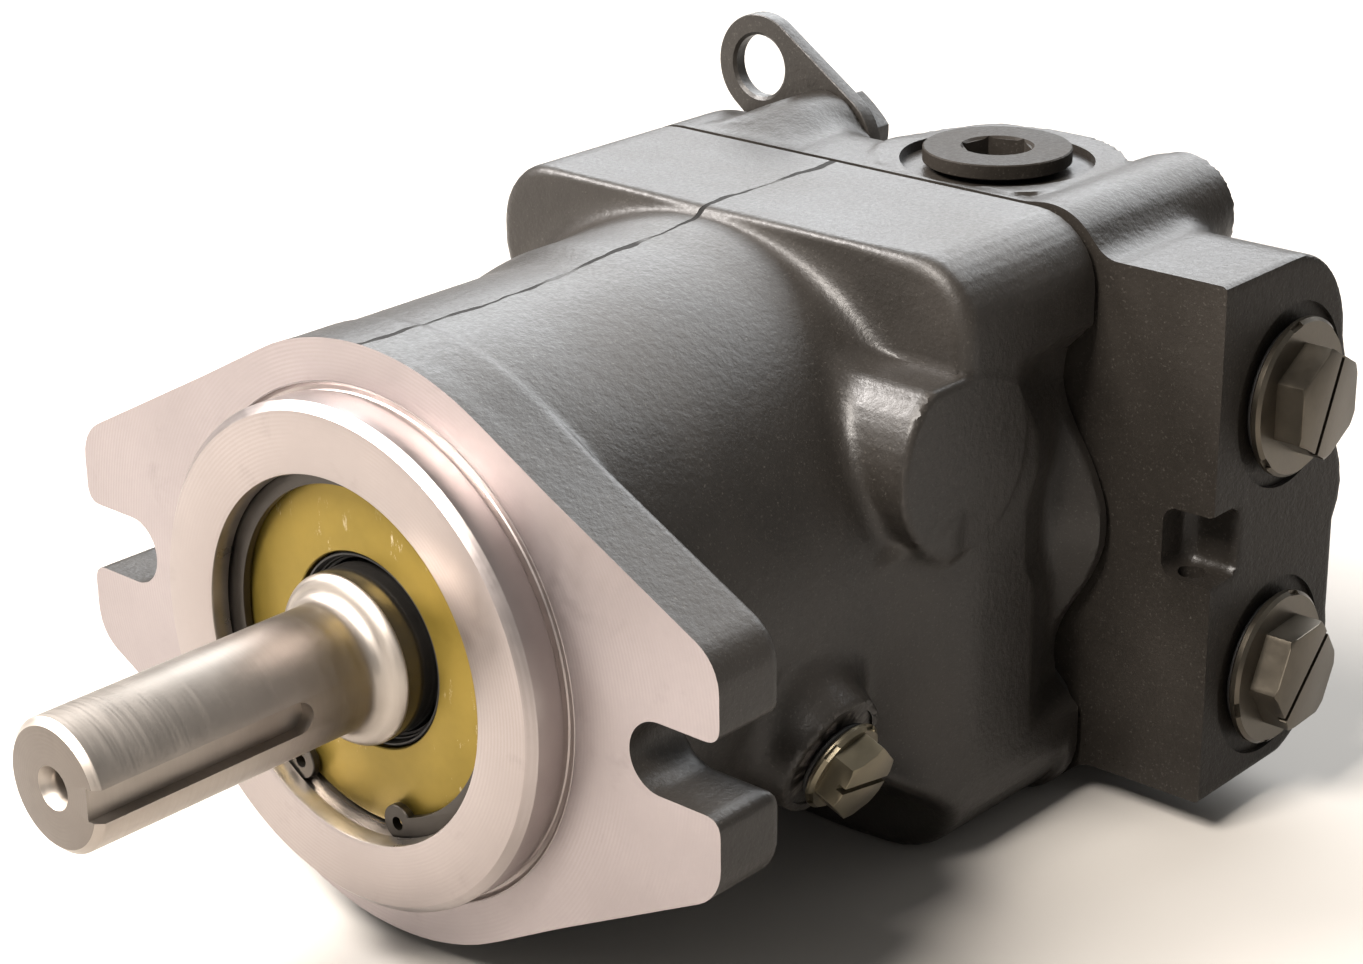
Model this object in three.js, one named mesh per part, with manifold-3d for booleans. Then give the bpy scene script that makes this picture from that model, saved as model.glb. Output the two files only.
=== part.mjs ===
// Axial-piston hydraulic motor with a two-bolt SAE C flange and a keyed straight shaft.
// Millimetres, +Z up. The shaft axis is the Y axis and the flange's mounting face is the plane y = 0:
// the shaft points to -Y, the end cap with its ports lies at +Y and the ports open to +X.
import * as THREE from "three";
import { mergeVertices } from "three/addons/utils/BufferGeometryUtils.js";
import Module from "manifold-3d";

const wasm = await Module();
wasm.setup();

// ---------------------------------------------------------------- driving dimensions

const GAP = 0.3; // between pieces that touch

const PILOT_R = 63.5; // SAE C pilot, 127 mm
const PILOT_HEIGHT = 12;
const BOLT_HALF_SPACING = 90.5; // two slots, 181 mm apart
const SLOT_R = 8.9;
const FLANGE_R = 76;
const FLANGE_THICK = 20;
const EAR_X = 108;
const EAR_CORNER_R = 12;

const BARREL_R = 74.5;
const BARREL_FLARE_R = 77.4;
const BODY_RIGHT = 84; // square rear part of the housing and the end cap
const BODY_LEFT = 74;
const BODY_HALF_HEIGHT = 81;
const BODY_CORNER_R = 18;
const RIGHT_WAIST = [
  [77, 47.5],
  [75, 43],
  [75, 0],
];
const RIGHT_BULGE = [
  [77, 47.5],
  [75, 43],
  [75, 30],
  [79, 22.5],
  [84.5, 16],
  [89, 8],
  [90.5, 0],
];
const LEFT_BULGE = [
  [71, 47],
  [70, 43],
  [70, 34],
  [73.5, 26],
  [77, 17],
  [79.6, 8],
  [80.5, 0],
];
const SHOULDER_Y = 118;
const WAIST_Y = 150; // the flat right side ends here, and the scalloped rear begins
const REAR_FLANGE_Y = 158;
const HOUSING_REAR_Y = 171;
const CAVITY_R = 60;

const CAP_FRONT_Y = 173;
const CAP_REAR_Y = 236;
const SIDE_X = 121; // port face
const SIDE_HALF_HEIGHT = 70.5;

const PORT_A = { y: 206, z: 33.5 };
const PORT_B = { y: 204, z: -41.5 };
const PORT_BOSS_R = 30;
const PORT_SPOT_R = 24.5;
const PORT_SPOT_DEPTH = 1.5;
const PORT_R = 15;

const TOP_PLUG = { x: 32, y: 200 };
const TOP_SPOT_Z = 79;
const TOP_SPOT_R = 26;

const DRAIN_ANGLE = 21; // degrees below +X
const DRAIN_Y = 72;
const DRAIN_BOSS_R = 16.5;
const DRAIN_FACE = 86; // distance of the boss face from the shaft axis

const EYE_BOSS = { x: -35, z: 72, r: 15, y: 210 };
const EYE_LOBE = { x: -60, z: 90, r: 15, hole: 9 };
const EYE_THICK = 5;

const PLUG_RING = 1.6; // thickness of the O-rings under the port and drain plugs

const SIDE_BOSS = { y: 119, z: 33, r: 25.5, x: 85 };

const SHAFT_R = 15.875;
const SHAFT_END_Y = -94;
const KEYWAY_WIDTH = 7.94;
const KEYWAY_FLOOR_X = 11.8;
const KEYWAY_END_Y = -37.6;
const JOURNAL_R = 21.4;
const JOURNAL_Y = -9.4;

const SEAL_BORE_R = 45;
const CARRIER_FRONT_Y = -3.1;
const CARRIER_REAR_Y = 11.7;
const CARRIER_HOLE_R = 24.3;

const BEARING_BORE_R = 36.3;
const BEARING_BORE_END_Y = 30;
const REAR_BORE_R = 26.3;

const PISTONS = 9;
const PISTON_CIRCLE_R = 38;
const PISTON_R = 8.5;
const BALL_R = 6;
const BALL_Y = 72;
const SWASH_Y = [44, 64];
const BLOCK_Y = [92, 166.5];
const BLOCK_R = 54;
const VALVE_PLATE_Y = [166.8, 172.7];

// ---------------------------------------------------------------- materials

const paint = () => new THREE.MeshStandardMaterial({ color: 0x2b2826, roughness: 0.55, metalness: 0.1 });
const blackPlastic = () => new THREE.MeshStandardMaterial({ color: 0x1b1a19, roughness: 0.4, metalness: 0 });
const steel = () => new THREE.MeshStandardMaterial({ color: 0x9b968f, roughness: 0.3, metalness: 1 });
const darkSteel = () => new THREE.MeshStandardMaterial({ color: 0x35322f, roughness: 0.4, metalness: 0.9 });
const zinc = () => new THREE.MeshStandardMaterial({ color: 0xa8903c, roughness: 0.4, metalness: 0.9 });
const rubber = () => new THREE.MeshStandardMaterial({ color: 0x141414, roughness: 0.7, metalness: 0 });
const bronze = () => new THREE.MeshStandardMaterial({ color: 0xa9843f, roughness: 0.4, metalness: 0.9 });

// ---------------------------------------------------------------- solids

// A closed geometry as a solid with its faces pointing out.
function solid(geometry) {
  const g = geometry.clone();
  g.deleteAttribute("normal");
  g.deleteAttribute("uv");
  const merged = mergeVertices(g, 1e-4);
  const build = (triVerts) =>
    new wasm.Manifold(
      new wasm.Mesh({ numProp: 3, vertProperties: merged.attributes.position.array, triVerts }),
    );
  const triVerts = new Uint32Array(merged.index.array);
  const made = build(triVerts);
  if (made.volume() > 0) return made;
  for (let i = 0; i < triVerts.length; i += 3) {
    [triVerts[i + 1], triVerts[i + 2]] = [triVerts[i + 2], triVerts[i + 1]];
  }
  return build(triVerts);
}

function union(...solids) {
  return solids.reduce((a, b) => a.add(b));
}

function cut(body, ...tools) {
  return tools.reduce((a, b) => a.subtract(b), body);
}

function geometryOf(body) {
  const mesh = body.getMesh();
  const g = new THREE.BufferGeometry();
  g.setAttribute("position", new THREE.BufferAttribute(new Float32Array(mesh.vertProperties), 3));
  g.setIndex(new THREE.BufferAttribute(new Uint32Array(mesh.triVerts), 1));
  g.computeVertexNormals();
  return g;
}

// A solid of revolution about Y from a closed profile of [radius, y] points.
function lathe(profile, segments = 24) {
  const points = [...profile, profile[0]].map(([r, y]) => new THREE.Vector2(r, y));
  return solid(new THREE.LatheGeometry(points, segments));
}

function ring(inner, outer, y0, y1, segments = 24) {
  const profile = [
    [inner, y0],
    [outer, y0],
    [outer, y1],
    [inner, y1],
  ];
  return lathe(profile, segments);
}

// A cylinder about Y, and the same turned to lie along X or Z.
function cylinderY(radius, y0, y1, x = 0, z = 0, segments = 24) {
  const g = new THREE.CylinderGeometry(radius, radius, y1 - y0, segments);
  return solid(g.translate(x, (y0 + y1) / 2, z));
}

function cylinderX(radius, x0, x1, y = 0, z = 0, segments = 24) {
  const g = new THREE.CylinderGeometry(radius, radius, x1 - x0, segments);
  return solid(g.rotateZ(-Math.PI / 2).translate((x0 + x1) / 2, y, z));
}

function cylinderZ(radius, z0, z1, x = 0, y = 0, segments = 24) {
  const g = new THREE.CylinderGeometry(radius, radius, z1 - z0, segments);
  return solid(g.rotateX(Math.PI / 2).translate(x, y, (z0 + z1) / 2));
}

function box(x0, x1, y0, y1, z0, z1) {
  const g = new THREE.BoxGeometry(x1 - x0, y1 - y0, z1 - z0);
  return solid(g.translate((x0 + x1) / 2, (y0 + y1) / 2, (z0 + z1) / 2));
}

// A prism along Y of an outline in the XZ plane, with both ends rounded by `round`.
function prismY(outline, y0, y1, round = 0) {
  const g = new THREE.ExtrudeGeometry(outline, {
    depth: y1 - y0 - 2 * round,
    bevelEnabled: round > 0,
    bevelThickness: round,
    bevelSize: round,
    bevelOffset: -round,
    bevelSegments: 1,
    curveSegments: 6,
  });
  return solid(g.rotateX(Math.PI / 2).translate(0, y1 - round, 0));
}

// A prism along X of an outline in the YZ plane, with both ends rounded by `round`.
function prismX(outline, x0, x1, round = 0) {
  const g = new THREE.ExtrudeGeometry(outline, {
    depth: x1 - x0 - 2 * round,
    bevelEnabled: round > 0,
    bevelThickness: round,
    bevelSize: round,
    bevelOffset: -round,
    bevelSegments: 1,
    curveSegments: 6,
  });
  const turn = new THREE.Matrix4().makeBasis(
    new THREE.Vector3(0, 1, 0),
    new THREE.Vector3(0, 0, 1),
    new THREE.Vector3(1, 0, 0),
  );
  return solid(g.applyMatrix4(turn).translate(x0 + round, 0, 0));
}

function turnedY(body, degrees) {
  return body.rotate([0, degrees, 0]);
}

const degrees = (value) => (value * Math.PI) / 180;

function arc(cx, cy, r, from, to, steps) {
  const points = [];
  for (let i = 0; i <= steps; i++) {
    const a = degrees(from + ((to - from) * i) / steps);
    points.push(new THREE.Vector2(cx + r * Math.cos(a), cy + r * Math.sin(a)));
  }
  return points;
}

function closedShape(points) {
  const apart = points.filter((p, i) => p.distanceTo(points[(i + 1) % points.length]) > 0.01);
  return new THREE.Shape(apart);
}

const flipped = (points, sx, sy) => points.map((p) => new THREE.Vector2(sx * p.x, sy * p.y));

// A closed outline from its upper right and upper left quarters, which both run from the top to the side.
function closedOutline(right, left) {
  return closedShape([
    ...right,
    ...flipped(right, 1, -1).reverse(),
    ...flipped(left, 1, -1),
    ...[...left].reverse(),
  ]);
}

function polygonRing(count, radius, turn) {
  const points = [];
  for (let i = 0; i < count; i++) {
    const a = degrees(turn + (360 * i) / count);
    points.push(new THREE.Vector2(radius * Math.cos(a), radius * Math.sin(a)));
  }
  return new THREE.Shape(points);
}

// ---------------------------------------------------------------- housing

function flangeOutline() {
  const flank = degrees(62);
  const nx = Math.cos(flank);
  const nz = Math.sin(flank);
  const cornerX = EAR_X - EAR_CORNER_R;
  const cornerZ = (FLANGE_R - EAR_CORNER_R - nx * cornerX) / nz;
  const quarter = [
    ...arc(0, 0, FLANGE_R, 90, 62, 5),
    ...arc(cornerX, cornerZ, EAR_CORNER_R, 62, 0, 5),
  ];
  return closedOutline(quarter, flipped(quarter, -1, 1));
}

// A bolt slot open at the ear's end, with a mouth that widens slightly.
function boltSlot(side) {
  const mouth = SLOT_R + 2.4;
  const outline = new THREE.Shape([
    ...arc(BOLT_HALF_SPACING, 0, SLOT_R, 90, 270, 12),
    new THREE.Vector2(EAR_X - 4, -SLOT_R),
    new THREE.Vector2(EAR_X + 1, -mouth),
    new THREE.Vector2(EAR_X + 6, -mouth),
    new THREE.Vector2(EAR_X + 6, mouth),
    new THREE.Vector2(EAR_X + 1, mouth),
    new THREE.Vector2(EAR_X - 4, SLOT_R),
  ]);
  const slot = prismY(outline, -5, FLANGE_THICK + 20);
  return side > 0 ? slot : turnedY(slot, 180);
}

// A quarter of the square rear outline: the corner lobe, then the side down to the middle.
function bodyQuarter(width, side) {
  const r = BODY_CORNER_R;
  const lobe = [[width, 57], [width - 3, 51.5], ...side].map(([x, z]) => new THREE.Vector2(x, z));
  return [
    new THREE.Vector2(0, BODY_HALF_HEIGHT),
    ...arc(width - r, BODY_HALF_HEIGHT - r, r, 90, 0, 5),
    ...lobe,
  ];
}

// The rear outline, with the given points down its right side.
function bodyOutline(side) {
  return closedOutline(bodyQuarter(BODY_RIGHT, side), flipped(bodyQuarter(BODY_LEFT, LEFT_BULGE), -1, 1));
}

// The outline of the shoulder, with a flat right side.
function shoulderOutline() {
  const r = BODY_CORNER_R;
  const right = [
    new THREE.Vector2(0, BODY_HALF_HEIGHT),
    ...arc(BODY_RIGHT - r, BODY_HALF_HEIGHT - r, r, 90, 0, 5),
  ];
  return closedOutline(right, flipped(bodyQuarter(BODY_LEFT, LEFT_BULGE), -1, 1));
}

function housingBarrel() {
  const profile = [
    [0, -PILOT_HEIGHT],
    [PILOT_R - 1.6, -PILOT_HEIGHT],
    [PILOT_R, -PILOT_HEIGHT + 1.6],
    [PILOT_R, 2],
    [BARREL_R, 2],
    [BARREL_R, 72],
    [BARREL_FLARE_R, 88],
    [BARREL_FLARE_R, SHOULDER_Y + 6],
    [80, WAIST_Y],
    [80, HOUSING_REAR_Y],
    [0, HOUSING_REAR_Y],
  ];
  return lathe(profile, 40);
}

function sideBoss() {
  const { y, z, r, x } = SIDE_BOSS;
  const outline = new THREE.Shape([
    new THREE.Vector2(WAIST_Y - 5, 54),
    new THREE.Vector2(y - 15, 54),
    ...arc(y, z, r, 132, 270, 10),
    new THREE.Vector2(WAIST_Y - 5, z - r),
  ]);
  return prismX(outline, 30, x, 2);
}

function drainTool(radius, from, to, segments = 24) {
  return turnedY(cylinderX(radius, from, to, DRAIN_Y, 0, segments), DRAIN_ANGLE);
}

function housingInside() {
  const profile = [
    [0, -PILOT_HEIGHT - 2],
    [SEAL_BORE_R + 1.6, -PILOT_HEIGHT - 2],
    [SEAL_BORE_R + 1.6, -PILOT_HEIGHT],
    [SEAL_BORE_R + 0.6, -PILOT_HEIGHT + 1],
    [SEAL_BORE_R + 0.6, -6.5],
    [SEAL_BORE_R + 3.2, -6.5],
    [SEAL_BORE_R + 3.2, -3.5],
    [SEAL_BORE_R, -3.5],
    [SEAL_BORE_R, 12],
    [BEARING_BORE_R, 12],
    [BEARING_BORE_R, BEARING_BORE_END_Y],
    [33, BEARING_BORE_END_Y],
    [33, 33],
    [CAVITY_R, 40],
    [CAVITY_R, HOUSING_REAR_Y + 2],
    [0, HOUSING_REAR_Y + 2],
  ];
  return lathe(profile, 32);
}

const CORNER_BOLTS = [
  [68, 65],
  [-58, 65],
  [-58, -65],
  [68, -65],
];

function housing() {
  const rear = box(-120, 120, HOUSING_REAR_Y, 220, -120, 120);
  const outer = cut(
    union(
      housingBarrel(),
      prismY(flangeOutline(), 0, FLANGE_THICK),
      prismY(shoulderOutline(), SHOULDER_Y, WAIST_Y, 4),
      prismY(bodyOutline(RIGHT_WAIST), SHOULDER_Y + 10, HOUSING_REAR_Y + 15),
      prismY(bodyOutline(RIGHT_BULGE), REAR_FLANGE_Y, HOUSING_REAR_Y + 15, 8),
      sideBoss(),
      drainTool(DRAIN_BOSS_R, 55, DRAIN_FACE),
    ),
    rear,
  );
  const boltHoles = CORNER_BOLTS.map(([x, z]) => cylinderY(6.4, 143, 180, x, z, 16));
  return cut(
    outer,
    housingInside(),
    boltSlot(1),
    boltSlot(-1),
    drainTool(8.3, 50, DRAIN_FACE + 5, 20),
    ...boltHoles,
  );
}

function gasket() {
  const y0 = HOUSING_REAR_Y + GAP;
  const y1 = CAP_FRONT_Y - GAP;
  const holes = CORNER_BOLTS.map(([x, z]) => cylinderY(6.4, y0 - 1, y1 + 1, x, z, 16));
  const opening = cylinderY(CAVITY_R, y0 - 1, y1 + 1, 0, 0, 36);
  return cut(prismY(bodyOutline(RIGHT_BULGE), y0, y1), opening, ...holes);
}

// ---------------------------------------------------------------- end cap

function sideBlock() {
  const top = SIDE_HALF_HEIGHT;
  const outline = new THREE.Shape([
    new THREE.Vector2(CAP_FRONT_Y - 12, -top),
    ...arc(PORT_B.y, PORT_B.z, PORT_BOSS_R, 285, 378, 8),
    new THREE.Vector2(236, -6),
    new THREE.Vector2(236.5, 2),
    ...arc(PORT_A.y, PORT_A.z, PORT_BOSS_R, -12, 60, 6),
    new THREE.Vector2(PORT_A.y + 4, top),
    new THREE.Vector2(CAP_FRONT_Y - 12, top),
  ]);
  return prismX(outline, 30, SIDE_X, 2);
}

function portTools({ y, z }) {
  const spot = cylinderX(PORT_SPOT_R, SIDE_X - PORT_SPOT_DEPTH, SIDE_X + 10, y, z, 36);
  const bore = cylinderX(PORT_R, 56, SIDE_X + 10, y, z, 28);
  return [spot, bore];
}

function topPlugTools() {
  const { x, y } = TOP_PLUG;
  const spot = cylinderZ(TOP_SPOT_R, TOP_SPOT_Z, 110, x, y, 36);
  const bore = cylinderZ(13.3, 50, 110, x, y, 24);
  return [spot, bore];
}

function endCap() {
  const front = box(-150, 150, 100, CAP_FRONT_Y, -120, 120);
  const plugBoss = cylinderZ(33, 50, 82, TOP_PLUG.x, TOP_PLUG.y + 2, 36);
  const eyeBoss = cylinderY(EYE_BOSS.r, 160, EYE_BOSS.y, EYE_BOSS.x, EYE_BOSS.z, 28);
  const outer = union(
    prismY(bodyOutline(RIGHT_WAIST), CAP_FRONT_Y - 15, CAP_REAR_Y, 6),
    prismY(bodyOutline(RIGHT_BULGE), CAP_FRONT_Y - 15, CAP_FRONT_Y + 30, 4),
    sideBlock(),
    plugBoss,
    eyeBoss,
  );
  const eyeNotch = box(-120, -16, EYE_BOSS.y, 260, 54, 120);
  const cornerPocket = box(106, 140, 165, 185, -9.5, 9.5);
  const dowelHole = cylinderZ(3.5, -22, 0, 111.5, 179, 16);
  const bearingBore = cylinderY(REAR_BORE_R, 165, 196, 0, 0, 36);
  const passages = [
    [PORT_A, 35],
    [PORT_B, -35],
  ].map(([port, z]) => {
    const along = cylinderX(8, -6, 60, port.y, port.z, 16);
    return along.add(cylinderY(7, 165, port.y + 4, 0, z, 16));
  });
  const boltHoles = CORNER_BOLTS.flatMap(([x, z]) => {
    const through = cylinderY(6.4, 165, 250, x, z, 16);
    const counterbore = cylinderY(10.5, capBoltSeatY(x, z), 250, x, z, 20);
    return [through, counterbore];
  });
  return cut(
    outer,
    front,
    eyeNotch,
    cornerPocket,
    dowelHole,
    bearingBore,
    cylinderY(6.3, 180, 220, EYE_BOSS.x, EYE_BOSS.z, 16),
    ...passages,
    ...boltHoles,
    ...portTools(PORT_A),
    ...portTools(PORT_B),
    ...topPlugTools(),
  );
}

function capBoltSeatY(x, z) {
  const underEye = x < 0 && z > 0;
  return underEye ? EYE_BOSS.y - 14 : CAP_REAR_Y - 14;
}

// A socket-head screw that holds the end cap on the housing.
function endCapBolt(x, z) {
  const seat = capBoltSeatY(x, z) + GAP;
  const head = cylinderY(9.4, seat, seat + 12, 0, 0, 20);
  const socket = prismY(polygonRing(6, 5.8, 0), seat + 5, seat + 13);
  const stem = cylinderY(6, 146, seat + 1, 0, 0, 16);
  return cut(union(head, stem), socket);
}

// ---------------------------------------------------------------- seal and retaining ring

function sealCarrier() {
  const profile = [
    [CARRIER_HOLE_R, CARRIER_FRONT_Y],
    [SEAL_BORE_R - 1.3, CARRIER_FRONT_Y],
    [SEAL_BORE_R - GAP, CARRIER_FRONT_Y + 1],
    [SEAL_BORE_R - GAP, 3],
    [SEAL_BORE_R - 3.4, 3],
    [SEAL_BORE_R - 3.4, 7],
    [SEAL_BORE_R - GAP, 7],
    [SEAL_BORE_R - GAP, CARRIER_REAR_Y],
    [27, CARRIER_REAR_Y],
    [27, 9],
    [CARRIER_HOLE_R, 9],
  ];
  return lathe(profile);
}

function carrierORing() {
  return ring(SEAL_BORE_R - 3.1, SEAL_BORE_R - GAP, 3.4, 6.6);
}

function shaftSeal() {
  const outer = CARRIER_HOLE_R - GAP;
  const profile = [
    [22.6, -1.8],
    [outer, -1.8],
    [outer, 8.4],
    [22.9, 8.4],
    [22.9, 5],
    [21.8, 3],
    [21.8, 0.5],
  ];
  return lathe(profile);
}

// An internal retaining ring: open at the bottom, with a holed lug at each end.
function retainingRing() {
  const inner = 41;
  const outer = 47.8;
  const openFrom = -120;
  const openTo = -78;
  const band = new THREE.Shape([
    ...arc(0, 0, outer, openTo, openFrom + 360, 24),
    ...arc(0, 0, inner, openFrom + 360, openTo, 24),
  ]);
  const lugs = [openFrom - 3, openTo + 3].map((angle) => {
    const x = 42.7 * Math.cos(degrees(angle));
    const z = 42.7 * Math.sin(degrees(angle));
    return { body: cylinderY(4.6, -6.2, -3.8, x, z, 12), hole: cylinderY(1.7, -8, -2, x, z, 8) };
  });
  const body = union(prismY(band, -6.2, -3.8), ...lugs.map((l) => l.body));
  const inside = body.intersect(cylinderY(outer, -7, -3, 0, 0, 36));
  return cut(inside, ...lugs.map((l) => l.hole));
}

// ---------------------------------------------------------------- plugs

// A hexagon plug along +X that seats at x = 0: round flange, hexagon with a slot, and a stem behind.
function hexPlug({ flangeR, flangeThick, acrossFlats, hexHeight, stemR, stemLength, turn }) {
  const hexR = acrossFlats / Math.sqrt(3);
  const flange = cylinderX(flangeR, 0, flangeThick, 0, 0, 28);
  const hex = prismX(polygonRing(6, hexR, turn), flangeThick - 0.5, flangeThick + hexHeight);
  const stem = cylinderX(stemR, -stemLength, 0.5, 0, 0, 16);
  const half = acrossFlats;
  const top = flangeThick + hexHeight;
  const slot = box(top - 2.5, top + 1, -half, half, -1.1, 1.1).rotate([turn + 25, 0, 0]);
  return cut(union(flange, hex, stem), slot);
}

const PORT_PLUG = {
  flangeR: 22.3,
  flangeThick: 3,
  acrossFlats: 26,
  hexHeight: 8,
  stemR: PORT_R - GAP,
  stemLength: 12,
};

const DRAIN_PLUG = {
  flangeR: 12.2,
  flangeThick: 2.4,
  acrossFlats: 18.5,
  hexHeight: 6.6,
  stemR: 8,
  stemLength: 9,
  turn: 8,
};

function topPlug() {
  const disc = cylinderZ(19.8, 0, 4, 0, 0, 36);
  const stem = cylinderZ(13, -16, 0.5, 0, 0, 24);
  const socketShape = new THREE.ExtrudeGeometry(polygonRing(6, 9.8, 0), { depth: 12, bevelEnabled: false });
  return cut(union(disc, stem), solid(socketShape.translate(0, 0, -6)));
}

function plugRing(inner, outer, thick) {
  const profile = [
    [inner, 0],
    [outer, 0],
    [outer, thick],
    [inner, thick],
  ];
  return lathe(profile, 16);
}

// ---------------------------------------------------------------- lifting eye

function liftingEye() {
  const { x, z, r, hole } = EYE_LOBE;
  const footR = 16;
  const dx = x - EYE_BOSS.x;
  const dz = z - EYE_BOSS.z;
  const along = (Math.atan2(dz, dx) * 180) / Math.PI;
  const outline = new THREE.Shape([
    ...arc(x, z, r, along - 90, along + 90, 14),
    ...arc(EYE_BOSS.x, EYE_BOSS.z, footR, along + 90, along + 270, 14),
  ]);
  const y0 = EYE_BOSS.y + GAP;
  const y1 = y0 + EYE_THICK;
  return cut(
    prismY(outline, y0, y1),
    cylinderY(hole, y0 - 1, y1 + 1, x, z, 28),
    cylinderY(6.3, y0 - 1, y1 + 1, EYE_BOSS.x, EYE_BOSS.z, 16),
  );
}

function liftingEyeBolt() {
  const seat = EYE_BOSS.y + EYE_THICK + 2 * GAP;
  const head = prismY(polygonRing(6, 12.7, 20), seat, seat + 9);
  return head.add(cylinderY(6, 186, seat + 1, 0, 0, 16));
}

// ---------------------------------------------------------------- shaft and bearings

function shaft() {
  const profile = [
    [0, SHAFT_END_Y],
    [SHAFT_R - 1.7, SHAFT_END_Y],
    [SHAFT_R, SHAFT_END_Y + 1.7],
    [SHAFT_R, -17],
    [16.4, -14],
    [18, -11.4],
    [20.3, JOURNAL_Y - 0.6],
    [JOURNAL_R, JOURNAL_Y + 0.6],
    [JOURNAL_R, 11.6],
    [20.3, 11.9],
    [20.3, 31],
    [24, 31],
    [24, 36],
    [18, 38],
    [18, 160],
    [15, 160],
    [15, 193],
    [0, 193],
  ];
  const keyway = union(
    box(KEYWAY_FLOOR_X, 30, SHAFT_END_Y - 2, KEYWAY_END_Y, -KEYWAY_WIDTH / 2, KEYWAY_WIDTH / 2),
    cylinderX(KEYWAY_WIDTH / 2, KEYWAY_FLOOR_X, 30, KEYWAY_END_Y, 0, 20),
  );
  const centreHole = lathe(
    [
      [0, SHAFT_END_Y - 1],
      [5, SHAFT_END_Y - 1],
      [4.2, SHAFT_END_Y + 1.4],
      [3.4, SHAFT_END_Y + 2.4],
      [3.4, SHAFT_END_Y + 20],
      [0, SHAFT_END_Y + 22],
    ],
    20,
  );
  return cut(lathe(profile, 24), keyway, centreHole);
}

// The outer race of a tapered roller bearing, from y0 to y1.
function bearingCup(outer, y0, y1, innerAt0, innerAt1) {
  const profile = [
    [innerAt0, y0],
    [outer, y0],
    [outer, y1],
    [innerAt1, y1],
  ];
  return lathe(profile);
}

// The inner race of a tapered roller bearing.
function bearingCone(inner, y0, y1, outerAt0, outerAt1) {
  const profile = [
    [inner, y0],
    [outerAt0, y0],
    [outerAt1, y1],
    [inner, y1],
  ];
  return lathe(profile);
}

// The caged roller set of a bearing, as one ring with its rollers standing proud.
function rollerSet(count, y0, y1, meanAt0, meanAt1, rollerR, webR) {
  const slope = Math.atan2(meanAt1 - meanAt0, y1 - y0);
  const length = y1 - y0;
  const cage = lathe(
    [
      [meanAt0 - webR, y0],
      [meanAt0 + webR, y0],
      [meanAt1 + webR, y1],
      [meanAt1 - webR, y1],
    ],
    16,
  );
  const rollers = [];
  for (let i = 0; i < count; i++) {
    const g = new THREE.CylinderGeometry(rollerR, rollerR, length * 0.86, 6);
    g.rotateZ(-slope).translate((meanAt0 + meanAt1) / 2, (y0 + y1) / 2, 0);
    rollers.push(solid(g.rotateY(degrees((360 * i) / count))));
  }
  return union(cage, ...rollers);
}

// ---------------------------------------------------------------- rotating group

function swashPlate() {
  return lathe(
    [
      [26, SWASH_Y[0]],
      [52, SWASH_Y[0]],
      [56, SWASH_Y[0] + 4],
      [56, SWASH_Y[1]],
      [26, SWASH_Y[1]],
    ],
    24,
  );
}

function slipper() {
  const base = SWASH_Y[1] + GAP;
  const body = lathe(
    [
      [0, base],
      [9.6, base],
      [9.6, base + 3.4],
      [7.8, base + 3.8],
      [7.8, BALL_Y + 2.6],
      [0, BALL_Y + 2.6],
    ],
    8,
  );
  const socket = solid(new THREE.SphereGeometry(BALL_R + GAP, 8, 4).translate(0, BALL_Y, 0));
  return cut(body, socket);
}

function piston() {
  const ball = solid(new THREE.SphereGeometry(BALL_R, 8, 4).translate(0, BALL_Y, 0));
  const body = lathe(
    [
      [0, BALL_Y],
      [3.6, BALL_Y],
      [3.6, 79],
      [PISTON_R, 82],
      [PISTON_R, 132],
      [5.5, 132],
      [5.5, 96],
      [0, 94],
    ],
    8,
  );
  return ball.add(body);
}

function aroundShaft(make) {
  return Array.from({ length: PISTONS }, (_, i) => make(90 + (360 * i) / PISTONS));
}

function onCircle(angle) {
  return [PISTON_CIRCLE_R * Math.cos(degrees(angle)), PISTON_CIRCLE_R * Math.sin(degrees(angle))];
}

function retainerPlate() {
  const y0 = SWASH_Y[1] + GAP + 3.8 + GAP;
  const holes = aroundShaft((a) => cylinderY(8.3, y0 - 1, y0 + 5, ...onCircle(a), 9));
  return cut(ring(24.6, 50, y0, y0 + 2.6), ...holes);
}

// The half ball that presses the retainer plate down, with its neck on the block's front.
function ballGuide() {
  return lathe([
    [18.6, BALL_Y - 5],
    [23.6, BALL_Y - 5],
    [24.2, BALL_Y],
    [23.4, BALL_Y + 6],
    [21.5, BALL_Y + 10],
    [21.5, 91.5],
    [18.9, 91.5],
  ]);
}

function cylinderBlock() {
  const body = lathe(
    [
      [18.4, BLOCK_Y[0]],
      [BLOCK_R - 2, BLOCK_Y[0]],
      [BLOCK_R, BLOCK_Y[0] + 2],
      [BLOCK_R, BLOCK_Y[1]],
      [25.6, BLOCK_Y[1]],
      [25.6, 122],
      [18.4, 122],
    ],
    24,
  );
  const bores = aroundShaft((a) => cylinderY(PISTON_R + GAP, BLOCK_Y[0] - 1, 154, ...onCircle(a), 8));
  const ports = aroundShaft((a) => cylinderY(5, 150, BLOCK_Y[1] + 1, ...onCircle(a), 6));
  return cut(body, ...bores, ...ports);
}

function blockSpring() {
  const turns = 4;
  const steps = turns * 10;
  const radius = 21.8;
  const points = [];
  for (let i = 0; i <= steps; i++) {
    const a = (2 * Math.PI * turns * i) / steps;
    points.push(
      new THREE.Vector3(radius * Math.cos(a), 127.5 + (26 * i) / steps, radius * Math.sin(a)),
    );
  }
  const path = new THREE.CatmullRomCurve3(points);
  return solid(
    new THREE.ExtrudeGeometry(polygonRing(5, 2.1, 0), { steps, extrudePath: path, bevelEnabled: false }),
  );
}

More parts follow.
